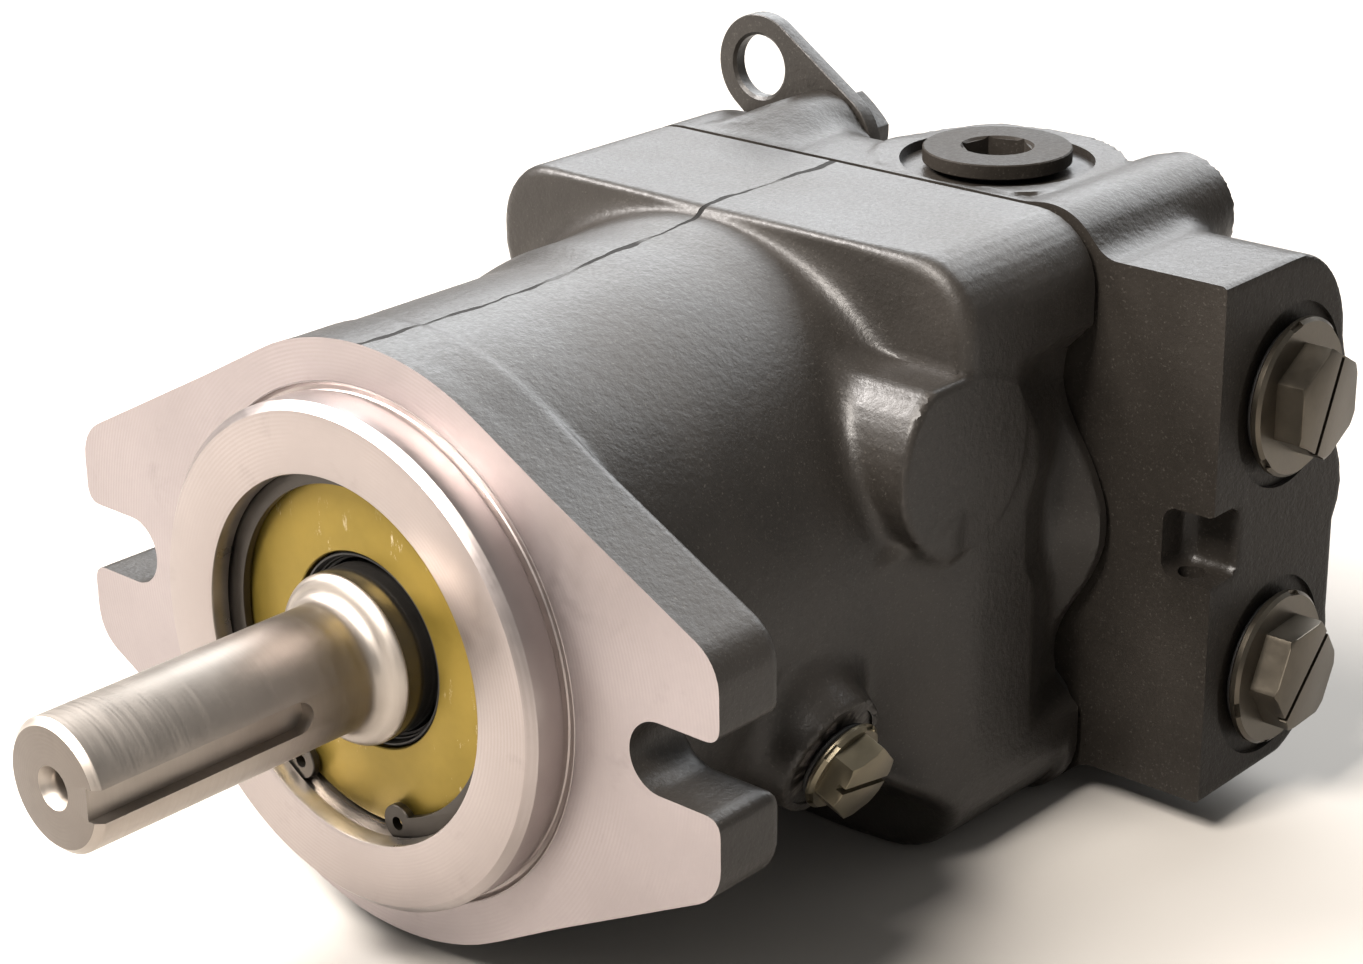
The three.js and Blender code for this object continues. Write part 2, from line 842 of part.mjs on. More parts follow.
function valvePlate() {
  const kidney = (from, to) =>
    new THREE.Shape([
      ...arc(0, 0, PISTON_CIRCLE_R + 4.5, from, to, 8),
      ...arc(0, 0, PISTON_CIRCLE_R - 4.5, to, from, 8),
    ]);
  const y0 = VALVE_PLATE_Y[0] - 1;
  const y1 = VALVE_PLATE_Y[1] + 1;
  return cut(
    ring(26.5, 53, ...VALVE_PLATE_Y),
    prismY(kidney(22, 158), y0, y1),
    prismY(kidney(202, 338), y0, y1),
  );
}

// ---------------------------------------------------------------- assembly

const motor = new THREE.Group();

function place(name, body, material, { parent = motor, position = [0, 0, 0], rotation = [0, 0, 0] } = {}) {
  const mesh = new THREE.Mesh(geometryOf(body), material);
  mesh.name = name;
  mesh.position.set(...position);
  mesh.rotation.set(...rotation.map(degrees));
  parent.add(mesh);
  return mesh;
}

place("housing", housing(), paint());
place("end_cap", endCap(), paint());
place("end_cap_gasket", gasket(), rubber());
CORNER_BOLTS.forEach(([x, z], i) => {
  place(`end_cap_bolt_${i + 1}`, endCapBolt(x, z), darkSteel(), { position: [x, 0, z] });
});

place("seal_carrier", sealCarrier(), zinc());
place("seal_carrier_o_ring", carrierORing(), rubber());
place("shaft_seal", shaftSeal(), rubber());
place("retaining_ring", retainingRing(), darkSteel());

// The drain plug sits in its own frame, turned so that local +X is the plug's axis.
const drain = new THREE.Group();
drain.rotation.y = degrees(DRAIN_ANGLE);
drain.position.set(0, DRAIN_Y, 0);
motor.add(drain);
place("drain_plug", hexPlug(DRAIN_PLUG), blackPlastic(), {
  parent: drain,
  position: [DRAIN_FACE + PLUG_RING + 2 * GAP, 0, 0],
});
place("drain_plug_o_ring", plugRing(8.4, 11.4, PLUG_RING), rubber(), {
  parent: drain,
  position: [DRAIN_FACE + GAP, 0, 0],
  rotation: [0, 0, -90],
});

[
  ["a", PORT_A, 30],
  ["b", PORT_B, 9],
].forEach(([letter, port, turn]) => {
  const seat = SIDE_X - PORT_SPOT_DEPTH;
  place(`port_plug_${letter}`, hexPlug({ ...PORT_PLUG, turn }), blackPlastic(), {
    position: [seat + PLUG_RING + 2 * GAP, port.y, port.z],
  });
  place(`port_plug_${letter}_o_ring`, plugRing(PORT_R + 0.4, 20.5, PLUG_RING), rubber(), {
    position: [seat + GAP, port.y, port.z],
    rotation: [0, 0, -90],
  });
});

place("top_plug", topPlug(), darkSteel(), {
  position: [TOP_PLUG.x, TOP_PLUG.y, TOP_SPOT_Z + 1.8],
  rotation: [0, 0, 20],
});
place("top_plug_o_ring", plugRing(13.6, 17, 1.2), rubber(), {
  position: [TOP_PLUG.x, TOP_PLUG.y, TOP_SPOT_Z + GAP],
  rotation: [90, 0, 0],
});

place("lifting_eye", liftingEye(), darkSteel());
place("lifting_eye_bolt", liftingEyeBolt(), darkSteel(), { position: [EYE_BOSS.x, 0, EYE_BOSS.z] });

place("shaft", shaft(), steel());
place("front_bearing_cup", bearingCup(BEARING_BORE_R - GAP, 12.3, 29.7, 32.2, 30.2), steel());
place("front_bearing_cone", bearingCone(20.6, 12.3, 30.7, 26.4, 24.2), steel());
place("front_bearing_rollers", rollerSet(10, 13.4, 28.6, 29.2, 27.3, 2.5, 1), steel());
place("rear_bearing_cup", bearingCup(REAR_BORE_R - GAP, 173.3, 191, 22.4, 24.2), steel());
place("rear_bearing_cone", bearingCone(15.3, 173.3, 191.6, 17.2, 18.8), steel());
place("rear_bearing_rollers", rollerSet(9, 174.4, 189.6, 19.9, 21.4, 2.1, 0.8), steel());

place("swash_plate", swashPlate(), steel());
place("retainer_plate", retainerPlate(), steel());
place("ball_guide", ballGuide(), steel());
place("cylinder_block", cylinderBlock(), steel());
place("block_spring", blockSpring(), darkSteel());
place("spring_washer_front", ring(18.8, 25.2, 122.4, 124.6, 24), steel());
place("spring_washer_rear", ring(18.8, 25.2, 156.4, 158.6, 24), steel());
place("valve_plate", valvePlate(), bronze());
aroundShaft((angle) => angle).forEach((angle, i) => {
  const [x, z] = onCircle(angle);
  place(`piston_${i + 1}`, piston(), steel(), { position: [x, 0, z] });
  place(`slipper_${i + 1}`, slipper(), bronze(), { position: [x, 0, z] });
});

export default motor;
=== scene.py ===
# Looks of the axial-piston hydraulic motor: painted castings, machined pilot and shaft, plugs, lifting eye.
# Lengths below are in millimetres in the CAD frame; objects are made in metres.
import math

import bmesh
import bpy
import numpy as np
from mathutils import Matrix, Vector


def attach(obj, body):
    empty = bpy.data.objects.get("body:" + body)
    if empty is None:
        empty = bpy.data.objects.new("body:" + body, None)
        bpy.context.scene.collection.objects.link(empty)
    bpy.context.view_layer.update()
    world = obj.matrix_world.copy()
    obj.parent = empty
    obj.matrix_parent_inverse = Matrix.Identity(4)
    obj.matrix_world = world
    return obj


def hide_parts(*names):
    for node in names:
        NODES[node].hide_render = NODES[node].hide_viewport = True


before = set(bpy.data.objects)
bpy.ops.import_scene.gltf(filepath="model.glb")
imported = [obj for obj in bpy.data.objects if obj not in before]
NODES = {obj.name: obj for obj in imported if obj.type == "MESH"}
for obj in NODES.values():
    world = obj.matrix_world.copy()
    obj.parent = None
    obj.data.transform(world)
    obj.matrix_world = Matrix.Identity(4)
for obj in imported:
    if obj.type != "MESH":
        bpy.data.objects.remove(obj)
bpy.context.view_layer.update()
MM = 0.001
STEP = 1.3  # grid of the castings

HALF_HEIGHT = 81  # rear body, above and below the shaft axis
HOUSING_END, CAP_START, CAP_END = 171, 173, 236
CORNERS = [(68, 65), (-58, 65), (-58, -65), (68, -65)]  # cap bolts (x, z)
PORTS = [("a", 206, 33.5), ("b", 204, -41.5)]  # letter, y, z of the ports on the +X side
PORT_FLOOR = 119.5  # x of the port plugs' counterbore floor
DRAIN_Y, DRAIN = 72, math.radians(21)  # drain's place along the shaft, and its axis below +X
TOP_PLUG = (32, 200)  # (x, y)
EYE, EYE_BOLT = (-60, 90), (-35, 72)  # (x, z)
LUGS = [(42.4 * math.cos(math.radians(a)), 42.4 * math.sin(math.radians(a))) for a in (-123, -75)]

AZIMUTH, ELEVATION, ROLL = math.radians(42.17), math.radians(21.86), math.radians(-0.85)
CAMERA_TARGET = (43.86, 60.0, 34.70)
CAMERA_DISTANCE = 702.19
FOCAL_LENGTH, FRAME_WIDTH = 2965.68, 1363  # in the image's own units

# ---------------------------------------------------------------- camera, lights, floor


def make_camera():
    target = Vector(CAMERA_TARGET) * MM
    a, e, roll = AZIMUTH, ELEVATION, ROLL
    back = Vector((math.sin(a) * math.cos(e), -math.cos(a) * math.cos(e), math.sin(e)))
    forward = -back
    right = forward.cross(Vector((0, 0, 1))).normalized()
    up = right.cross(forward)
    r = right * math.cos(roll) + up * math.sin(roll)
    u = up * math.cos(roll) - right * math.sin(roll)
    data = bpy.data.cameras.new("camera")
    data.sensor_fit = "HORIZONTAL"
    data.sensor_width = 36.0
    data.lens = 36.0 * FOCAL_LENGTH / FRAME_WIDTH
    data.clip_start, data.clip_end = 0.05, 50
    camera = bpy.data.objects.new("camera", data)
    turn = Matrix((r, u, back)).transposed().to_4x4()
    camera.matrix_world = Matrix.Translation(target + back * CAMERA_DISTANCE * MM) @ turn
    bpy.context.scene.collection.objects.link(camera)
    bpy.context.scene.camera = camera


def area_light(name, place, aim, size, power, colour):
    data = bpy.data.lights.new(name, "AREA")
    data.shape = "RECTANGLE"
    data.size, data.size_y = size
    data.energy = power
    data.color = colour
    light = bpy.data.objects.new(name, data)
    light.location = place
    light.rotation_mode = "QUATERNION"
    light.rotation_quaternion = (Vector(aim) - Vector(place)).to_track_quat("-Z", "Y")
    bpy.context.scene.collection.objects.link(light)


def make_lights():
    world = bpy.data.worlds.new("studio")
    bpy.context.scene.world = world
    world.use_nodes = True
    background = world.node_tree.nodes["Background"]
    background.inputs["Color"].default_value = (1.0, 0.98, 0.955, 1)
    background.inputs["Strength"].default_value = 0.30
    bpy.context.scene.view_settings.view_transform = "Standard"
    warm, cool = (1.0, 0.92, 0.83), (0.95, 0.975, 1.0)
    area_light("left", (-1.05, -0.45, 1.2), (0, 0.08, 0), (0.6, 0.5), 72, (1.0, 0.95, 0.92))
    area_light("top", (0.0, -0.95, 1.25), (0, 0.08, 0), (0.6, 0.5), 70, (1.0, 0.935, 0.87))
    area_light("back", (-0.55, 1.45, 1.1), (0, 0.12, 0.05), (2.2, 1.3), 66, cool)
    area_light("front", (-1.15, -1.3, 0.32), (0, 0, 0), (1.2, 0.5), 5.5, warm)


def make_floor():
    size, z = 6.0, -81.2 * MM
    mesh = bpy.data.meshes.new("floor")
    corners = [(-size, -size, z), (size, -size, z), (size, size, z), (-size, size, z)]
    mesh.from_pydata(corners, [], [(0, 1, 2, 3)])
    floor = bpy.data.objects.new("floor", mesh)
    bpy.context.scene.collection.objects.link(floor)
    floor.data.materials.append(plain_floor())


# ---------------------------------------------------------------- materials


class Nodes:
    """A principled material with short calls for its procedural nodes, on object coordinates."""

    def __init__(self, name, colour, roughness, metallic=0.0, specular=0.5):
        self.material = bpy.data.materials.new(name)
        self.material.use_nodes = True
        self.tree = self.material.node_tree
        self.shader = self.tree.nodes["Principled BSDF"]
        self.set("Base Color", (*colour, 1))
        self.set("Roughness", roughness)
        self.set("Metallic", metallic)
        self.set("Specular IOR Level", specular)
        self.material.diffuse_color = (*colour, 1)
        self.place = self.add("ShaderNodeTexCoord").outputs["Object"]

    def set(self, socket, value):
        self.shader.inputs[socket].default_value = value

    def add(self, kind, **values):
        node = self.tree.nodes.new(kind)
        for key, value in values.items():
            setattr(node, key, value)
        return node

    def link(self, out, socket):
        self.tree.links.new(out, socket)

    def wire(self, out, socket):
        self.link(out, self.shader.inputs[socket])

    def noise(self, scale, detail=4.0, roughness=0.55, stretch=None):
        node = self.add("ShaderNodeTexNoise")
        node.inputs["Scale"].default_value = scale
        node.inputs["Detail"].default_value = detail
        node.inputs["Roughness"].default_value = roughness
        source = self.place
        if stretch:
            mapping = self.add("ShaderNodeMapping")
            mapping.inputs["Scale"].default_value = stretch
            self.link(source, mapping.inputs["Vector"])
            source = mapping.outputs["Vector"]
        self.link(source, node.inputs["Vector"])
        return node.outputs["Fac"]

    def rings(self, scale, distortion):
        """Circles about the Y axis."""
        node = self.add("ShaderNodeTexWave", wave_type="RINGS", rings_direction="Y")
        node.inputs["Scale"].default_value = scale
        node.inputs["Distortion"].default_value = distortion
        node.inputs["Detail"].default_value = 2
        node.inputs["Detail Scale"].default_value = 3
        self.link(self.place, node.inputs["Vector"])
        return node.outputs["Fac"]

    def spread(self, value, low, high, to_low, to_high):
        """Maps the range low..high to the range to_low..to_high, clamped."""
        node = self.add("ShaderNodeMapRange")
        self.link(value, node.inputs["Value"])
        sockets = ("From Min", "From Max", "To Min", "To Max")
        for socket, number in zip(sockets, (low, high, to_low, to_high)):
            node.inputs[socket].default_value = number
        return node.outputs["Result"]

    def mix(self, value, colour_a, colour_b):
        node = self.add("ShaderNodeMix", data_type="RGBA")
        self.link(value, node.inputs["Factor"])
        for socket, colour in (("A", colour_a), ("B", colour_b)):
            place = [s for s in node.inputs if s.name == socket and s.type == "RGBA"][0]
            if isinstance(colour, tuple):
                place.default_value = (*colour, 1)
            else:
                self.link(colour, place)
        return [s for s in node.outputs if s.type == "RGBA"][0]

    def maths(self, operation, a, b=None):
        node = self.add("ShaderNodeMath", operation=operation)
        for socket, value in zip(node.inputs, (a, b)):
            if value is None:
                continue
            if isinstance(value, (int, float)):
                socket.default_value = value
            else:
                self.link(value, socket)
        return node.outputs[0]

    def bump(self, height, strength, distance, under=None):
        node = self.add("ShaderNodeBump")
        node.inputs["Strength"].default_value = strength
        node.inputs["Distance"].default_value = distance * MM
        self.link(height, node.inputs["Height"])
        if under is not None:
            self.link(under, node.inputs["Normal"])
        return node.outputs["Normal"]

    def turned(self, amount):
        """Highlights drawn out across the lathe's marks, about the Y axis."""
        tangent = self.add("ShaderNodeTangent", direction_type="RADIAL", axis="Y")
        self.set("Anisotropic", amount)
        self.wire(tangent.outputs["Tangent"], "Tangent")


def plain_floor():
    n = Nodes("floor", (0.38, 0.36, 0.335), 0.75, specular=0.2)
    n.wire(n.mix(n.noise(3), (0.37, 0.35, 0.325), (0.39, 0.37, 0.345)), "Base Color")
    return n.material


def cast_paint(name, seam=False, specular=0.33, gloss=0.0, lightening=0.0):
    """Dark paint over a sand-cast skin; gloss smooths it, and the edge amount lightens its convex edges,
    partly as paint wear and partly as a painted highlight along them.
    """
    n = Nodes(name, (0.017, 0.0147, 0.0125), 0.42, specular=specular)
    broad = n.spread(n.noise(22, 5), 0.35, 0.65, 0, 1)
    fine = n.noise(900, 3, 0.6)
    grain = n.noise(330, 4, 0.6)
    colour = n.mix(broad, (0.013, 0.0112, 0.0094), (0.021, 0.0182, 0.0155))
    speck = n.spread(n.noise(1500, 2), 0.62, 0.72, 0, 0.5)
    colour = n.mix(speck, colour, (0.06, 0.055, 0.048))
    # convex edges lightened by pointiness: partly paint wear, partly a painted highlight of light catching
    # the edges
    if lightening:
        edge = n.spread(n.add("ShaderNodeNewGeometry").outputs["Pointiness"], 0.54, 0.61, 0, lightening)
        edge = n.maths("MULTIPLY", edge, n.spread(grain, 0.35, 0.6, 0.3, 1))
        colour = n.mix(edge, colour, (0.20, 0.18, 0.165))
    rough = n.spread(broad, 0, 1, 0.38 - gloss, 0.46 - gloss)
    rough = n.maths("ADD", rough, n.spread(fine, 0.3, 0.7, -0.05, 0.06))
    normal = n.bump(grain, 0.42, 0.40)
    normal = n.bump(fine, 0.42, 0.20, normal)
    if seam:
        line = seam_mask(n)
        colour = n.mix(line, colour, (0.004, 0.0037, 0.0034))
        rough = n.maths("ADD", rough, n.maths("MULTIPLY", line, 0.5))
        normal = n.bump(n.maths("SUBTRACT", 1.0, line), 0.8, 0.5, normal)
    n.wire(colour, "Base Color")
    n.wire(rough, "Roughness")
    n.wire(normal, "Normal")
    return n.material


def seam_mask(n):
    """The ragged parting line along the top of the housing."""
    split = n.add("ShaderNodeSeparateXYZ")
    n.link(n.place, split.inputs[0])
    wander = n.spread(n.noise(60, 2), 0.3, 0.7, -0.0009, 0.0009)
    off = n.maths("ABSOLUTE", n.maths("ADD", split.outputs["X"], wander))
    width = n.spread(n.noise(52, 3, 0.6), 0.38, 0.64, 0.0002, 0.0009)
    line = n.spread(n.maths("SUBTRACT", off, width), 0.0, 0.0002, 1, 0)
    broken = n.spread(n.noise(38, 3, 0.6), 0.38, 0.48, 0.25, 1)
    on_top = n.spread(split.outputs["Z"], 0.066, 0.070, 0, 1)
    return n.maths("MULTIPLY", n.maths("MULTIPLY", line, broken), on_top)


def machined(name, colour=(0.365, 0.326, 0.326), rough=0.44, turned=0.1):
    """Bare metal faced on a lathe."""
    n = Nodes(name, colour, rough, metallic=1.0)
    blotch = n.spread(n.noise(16, 5, 0.6), 0.3, 0.7, 0, 1)
    dark, pale = tuple(c * 0.86 for c in colour), tuple(c * 1.2 for c in colour)
    colour = n.mix(blotch, dark, colour)
    stain = n.spread(n.noise(70, 4, 0.65), 0.60, 0.75, 0, 0.35)
    colour = n.mix(stain, colour, tuple(c * 0.72 for c in dark))
    # pale rings: the turning marks, and in part a painted highlight streaking along them
    marks_and_streak_highlight = n.spread(n.rings(310, 1.2), 0.25, 0.75, 0, 0.3)
    marks_and_streak_highlight = n.maths("MULTIPLY", marks_and_streak_highlight, n.spread(n.noise(28, 4), 0.42, 0.62, 0, 1))
    n.wire(n.mix(marks_and_streak_highlight, colour, pale), "Base Color")
    marks = n.rings(420, 0.8)
    scuff = n.noise(260, 3, 0.6)
    blotched = n.spread(blotch, 0, 1, rough - 0.04, rough + 0.07)
    n.wire(n.maths("ADD", blotched, n.spread(scuff, 0.3, 0.7, -0.03, 0.04)), "Roughness")
    n.wire(n.bump(scuff, 0.05, 0.05, n.bump(marks, 0.2, 0.03)), "Normal")
    n.turned(turned)
    return n.material


def ground_shaft(name):
    n = Nodes(name, (0.42, 0.39, 0.355), 0.3, metallic=1.0)
    streak = n.noise(60, 4, 0.6, stretch=(1.0, 22.0, 1.0))
    hazy = n.spread(n.noise(34, 4), 0.3, 0.7, 0, 1)
    n.wire(n.mix(hazy, (0.315, 0.283, 0.252), (0.39, 0.353, 0.317)), "Base Color")
    rough = n.maths("ADD", n.spread(streak, 0.3, 0.7, 0.34, 0.46), n.spread(hazy, 0, 1, -0.02, 0.05))
    n.wire(rough, "Roughness")
    n.wire(n.bump(streak, 0.16, 0.05, n.bump(n.noise(700, 2), 0.08, 0.03)), "Normal")
    n.turned(0.3)
    return n.material


def yellow_zinc(name):
    n = Nodes(name, (0.28, 0.20, 0.036), 0.45, metallic=0.75)
    cloud = n.spread(n.noise(48, 5, 0.6), 0.32, 0.68, 0, 1)
    colour = n.mix(cloud, (0.185, 0.132, 0.020), (0.25, 0.178, 0.034))
    scratch = n.spread(n.noise(150, 6, 0.75, stretch=(1.0, 1.0, 0.4)), 0.59, 0.66, 0, 0.8)
    patch = n.spread(n.noise(32, 2), 0.46, 0.60, 0, 1)
    lightening = n.maths("MULTIPLY", scratch, patch)
    n.wire(n.mix(lightening, colour, (0.85, 0.78, 0.62)), "Base Color")
    n.wire(n.spread(cloud, 0, 1, 0.36, 0.50), "Roughness")
    n.wire(n.bump(n.noise(620, 3), 0.16, 0.07), "Normal")
    return n.material


def dark_metal(name, colour, rough, scale=500):
    n = Nodes(name, colour, rough, metallic=0.9)
    cloud = n.spread(n.noise(90, 5), 0.3, 0.7, 0, 1)
    n.wire(n.mix(cloud, tuple(c * 0.78 for c in colour), tuple(c * 1.18 for c in colour)), "Base Color")
    n.wire(n.spread(cloud, 0, 1, rough - 0.05, rough + 0.08), "Roughness")
    n.wire(n.bump(n.noise(scale, 3), 0.18, 0.08), "Normal")
    return n.material


def rubber(name):
    n = Nodes(name, (0.018, 0.018, 0.018), 0.55, specular=0.4)
    n.wire(n.mix(n.noise(120, 3), (0.012, 0.012, 0.012), (0.03, 0.029, 0.028)), "Base Color")
    n.wire(n.spread(n.noise(400, 3), 0.3, 0.7, 0.46, 0.66), "Roughness")
    n.wire(n.bump(n.noise(1100, 2), 0.15, 0.05), "Normal")
    return n.material


# ---------------------------------------------------------------- distance fields of the castings


def smin(a, b, k):
    """The union of two fields, blended over the width k."""
    h = np.maximum(k - np.abs(a - b), 0) / k
    return np.minimum(a, b) - h * h * k / 4


def smax(a, b, k):
    return -smin(-a, -b, k)


def step_between(t, a, b):
    """Rises smoothly from 0 at t = a to 1 at t = b."""
    s = np.clip((t - a) / (b - a), 0, 1)
    return s * s * (3 - 2 * s)


def polygon(u, v, points):
    """Signed distance to a closed outline, negative inside."""
    u, v = np.broadcast_arrays(u, v)
    best = np.full(u.shape, 1e9, np.float32)
    sign = np.ones(u.shape, np.float32)
    for (ax, ay), (bx, by) in zip(points, points[1:] + points[:1]):
        ex, ey, px, py = bx - ax, by - ay, u - ax, v - ay
        t = np.clip((px * ex + py * ey) / (ex * ex + ey * ey), 0, 1)
        best = np.minimum(best, (px - ex * t) ** 2 + (py - ey * t) ** 2)
        crossing = (ay > v) != (by > v)
        left = (px * ey - py * ex) * (1 if ey > 0 else -1) < 0
        sign = np.where(crossing & left, -sign, sign)
    return sign * np.sqrt(best)


def slab(d, w, low, high, r):
    """A 2D distance drawn out along w, with its ends rounded by r."""
    b = np.abs(w - (low + high) / 2) - (high - low) / 2 + r
    a = d + r
    return np.minimum(np.maximum(a, b), 0) + np.hypot(np.maximum(a, 0), np.maximum(b, 0)) - r


def arc(cx, cy, r, a0, a1, steps):
    turns = [math.radians(a0 + (a1 - a0) * i / steps) for i in range(steps + 1)]
    return [(cx + r * math.cos(t), cy + r * math.sin(t)) for t in turns]


def soften(points):
    """Cuts the corners of a closed outline."""
    made = []
    for (ax, ay), (bx, by) in zip(points, points[1:] + points[:1]):
        made.append((ax * 0.75 + bx * 0.25, ay * 0.75 + by * 0.25))
        made.append((ax * 0.25 + bx * 0.75, ay * 0.25 + by * 0.75))
    return made


def mirrored(right):
    """A closed outline from its right half, which runs from the top to the bottom."""
    return right + [(-x, z) for x, z in reversed(right)]


def lower(points):
    """The points of an upper quarter, mirrored to the lower one."""
    return [(x, -z) for x, z in reversed(points)]


# the flange's flank touches the circle of 75.6 mm and the ear's corner of 12 mm at (96, CORNER_Z)
FLANK = math.radians(62)
CORNER_Z = (75.6 - 12 - math.cos(FLANK) * 96) / math.sin(FLANK)
EAR = arc(0, 0, 75.2, 90, 66, 6) + arc(96, CORNER_Z, 12, 62, 0, 6)
FLANGE = mirrored(EAR + lower(EAR))

RIGHT_SIDE = [(84, 57), (81.5, 51), (76.5, 46), (75, 38), (75, 0)]
LEFT_SIDE = [(74, 57), (72.5, 51), (70.5, 46), (70, 40), (70, 30), (74, 24), (78, 12), (79, 0)]
BULGE = [(60, 36), (73.5, 34), (76.5, 30), (80, 25.5), (86, 16), (89.8, 7), (90.6, 0)]


def quarter(width, side, r=18):
    """The upper right quarter of the body, from the top round its corner and down its side."""
    return arc(width - r, HALF_HEIGHT - r, r, 90, 0, 8) + side


def body_outline(upper, below):
    """A closed outline from its right half's two quarters and the left side's own quarter."""
    left = [(-x, z) for x, z in quarter(74, LEFT_SIDE)]
    return upper + lower(below)[1:] + [(x, -z) for x, z in left] + left[::-1][1:]


BODY = body_outline(quarter(84, RIGHT_SIDE), quarter(84, RIGHT_SIDE))
WAISTED = body_outline(quarter(84, RIGHT_SIDE), quarter(84, RIGHT_SIDE, 23))
SHOULDER = body_outline(quarter(84, [(84, 0)]), quarter(84, [(84, 0)], 23))
BULGED = soften(BULGE + lower(BULGE)[1:])
BOSS = arc(119, 33, 25.5, 125, 400, 30) + [(125, 54), (106, 54)]  # (y, z)


def drain_axes(x, z):
    """Distance along the drain's axis, and across it in the XZ plane."""
    return x * math.cos(DRAIN) - z * math.sin(DRAIN), x * math.sin(DRAIN) + z * math.cos(DRAIN)


def housing_field(x, y, z):
    r = np.hypot(x - 0.4, z)
    left = step_between(-x, -15, 15)
    flare = left * step_between(y, 70, 88) + (1 - left) * step_between(y, 35, 112)
    size = 74.8 + 0.6 * (1 - step_between(y, 0, 9)) + 2.4 * flare + 0.9 * step_between(y, 96, 118)
    wide = step_between(np.abs(x), 35, 70)
    d = smin(r - size, slab(polygon(x, z, FLANGE), y, -6, 20, 1.6), 1 + 5 * wide)
    # the side wall below the boss runs out into the barrel
    blend = step_between(z, -68, -38) * (1 - step_between(z, 4, 24)) * step_between(x, 40, 60)
    side = polygon(x, z, SHOULDER)
    middle = (1 - step_between(np.abs(z), 45, 54)) * step_between(x, 30, 50)
    rear = 152 - 10 * step_between(z, 26, 50) - 5 * (1 - step_between(np.abs(z - 4), 6, 18))
    inset = side + blend * 0.0125 * np.maximum(128 - y, 0) ** 2 + middle * 0.5 * np.maximum(y - rear + 3, 0)
    wall = slab(inset, y, 118 - 30 * blend, 190, 2 + 2.5 * step_between(np.abs(x), 45, 72))
    wall = smin(wall, slab(polygon(x, z, WAISTED), y, 128, 190, 2), 0.05 + 4 * middle)
    wall = np.minimum(wall, slab(polygon(x, z, BODY), y, 166, 190, 1.5))
    d = smin(d, wall, 3.5 + 6 * step_between(np.abs(x), 10, 50))
    bulge = polygon(x, z, BULGED)
    d = smin(d, np.maximum(np.maximum(bulge, 152 - y), (bulge + 168 - y) * 0.707), 4)
    boss = slab(polygon(y, z, BOSS), x, 20, 84.3, 1.9)
    d = smin(d, boss, 5 - 4.5 * step_between(y, 112, 120))
    along, across = drain_axes(x, z)
    radius = 16.3 + np.clip(86 - along, 0, 12) * 0.28
    neck = np.maximum(np.hypot(across, y - DRAIN_Y) - radius, np.maximum(along - 86, 55 - along))
    d = smin(d, neck, 6)
    slot = np.where(np.abs(x) < 90.5, np.hypot(np.abs(x) - 90.5, z), np.abs(z)) - 8.9
    d = smax(d, -np.maximum(slot, np.abs(y - 10) - 30), 4.5)
    return np.maximum(d, np.maximum(-3 - y, y - 175))


# the port block's outline (y, z)
SIDE = (
    [(161, -70.5)]
    + arc(204, -41.5, 30, 286, 372, 10)
    + [(233.2, -9), (235.6, -4), (236.2, 1), (235, 7), (232.4, 13), (232.8, 20), (235, 28), (234.8, 34)]
    + arc(204, 42.5, 28, 0, 90, 14)
    + [(161, 70.5)]
)


def cap_field(x, y, z):
    low_left = 13.5 * step_between(y, 186, 226) * step_between(-x, -14, 6)
    top = z - (83.5 - low_left)
    body = smax(slab(polygon(x, z, BODY), y, 160, CAP_END, 6), top, 3)
    d = smin(body, slab(polygon(x, z, BULGED), y, 160, 196, 5), 5)
    block = slab(polygon(y, z, SIDE), x, 30, 121, 1.3)
    plug_boss = np.maximum(np.hypot(x - 32, y - 202) - 33, np.maximum(z - 81, np.maximum(20 - z, 177 - y)))
    ridge = np.maximum(np.hypot(x - 68.5, z - 66) - 15.6, np.maximum(y - CAP_END, 160 - y))
    d = smin(d, ridge, 2)
    valley = np.hypot(x - 49.5, z - 88 + 2.2 * step_between(y, 200, CAP_END)) - 9.2
    d = smax(d, -np.maximum(valley, 180 - y), 6)
    d = smin(d, plug_boss, 0.2 + 4 * step_between(-x, -22, 0))
    eye = np.maximum(np.hypot(x - EYE_BOLT[0], z - EYE_BOLT[1]) - 15, np.maximum(y - 210, 180 - y))
    eye = smax(eye, (z - 81.5 - 0.55 * (y - 182)) * 0.87, 4)
    d = smin(d, eye, 6)
    pocket = np.maximum(np.hypot(x + 13, y - 230) - 13, 60 - z)
    d = smax(d, -pocket, 7)
    d = smin(d, block, 6)
    # the pocket in the block's front edge is a box with corners rounded by 4 mm
    a, b, c = np.abs(x - 131) - 21, np.abs(y - 165) - 16, np.abs(z) - 5.5
    outside = np.sqrt(np.maximum(a, 0) ** 2 + np.maximum(b, 0) ** 2 + np.maximum(c, 0) ** 2)
    notch = outside + np.minimum(np.maximum(np.maximum(a, b), c), 0) - 4
    return np.maximum(smax(d, -notch, 1), 170 - y)


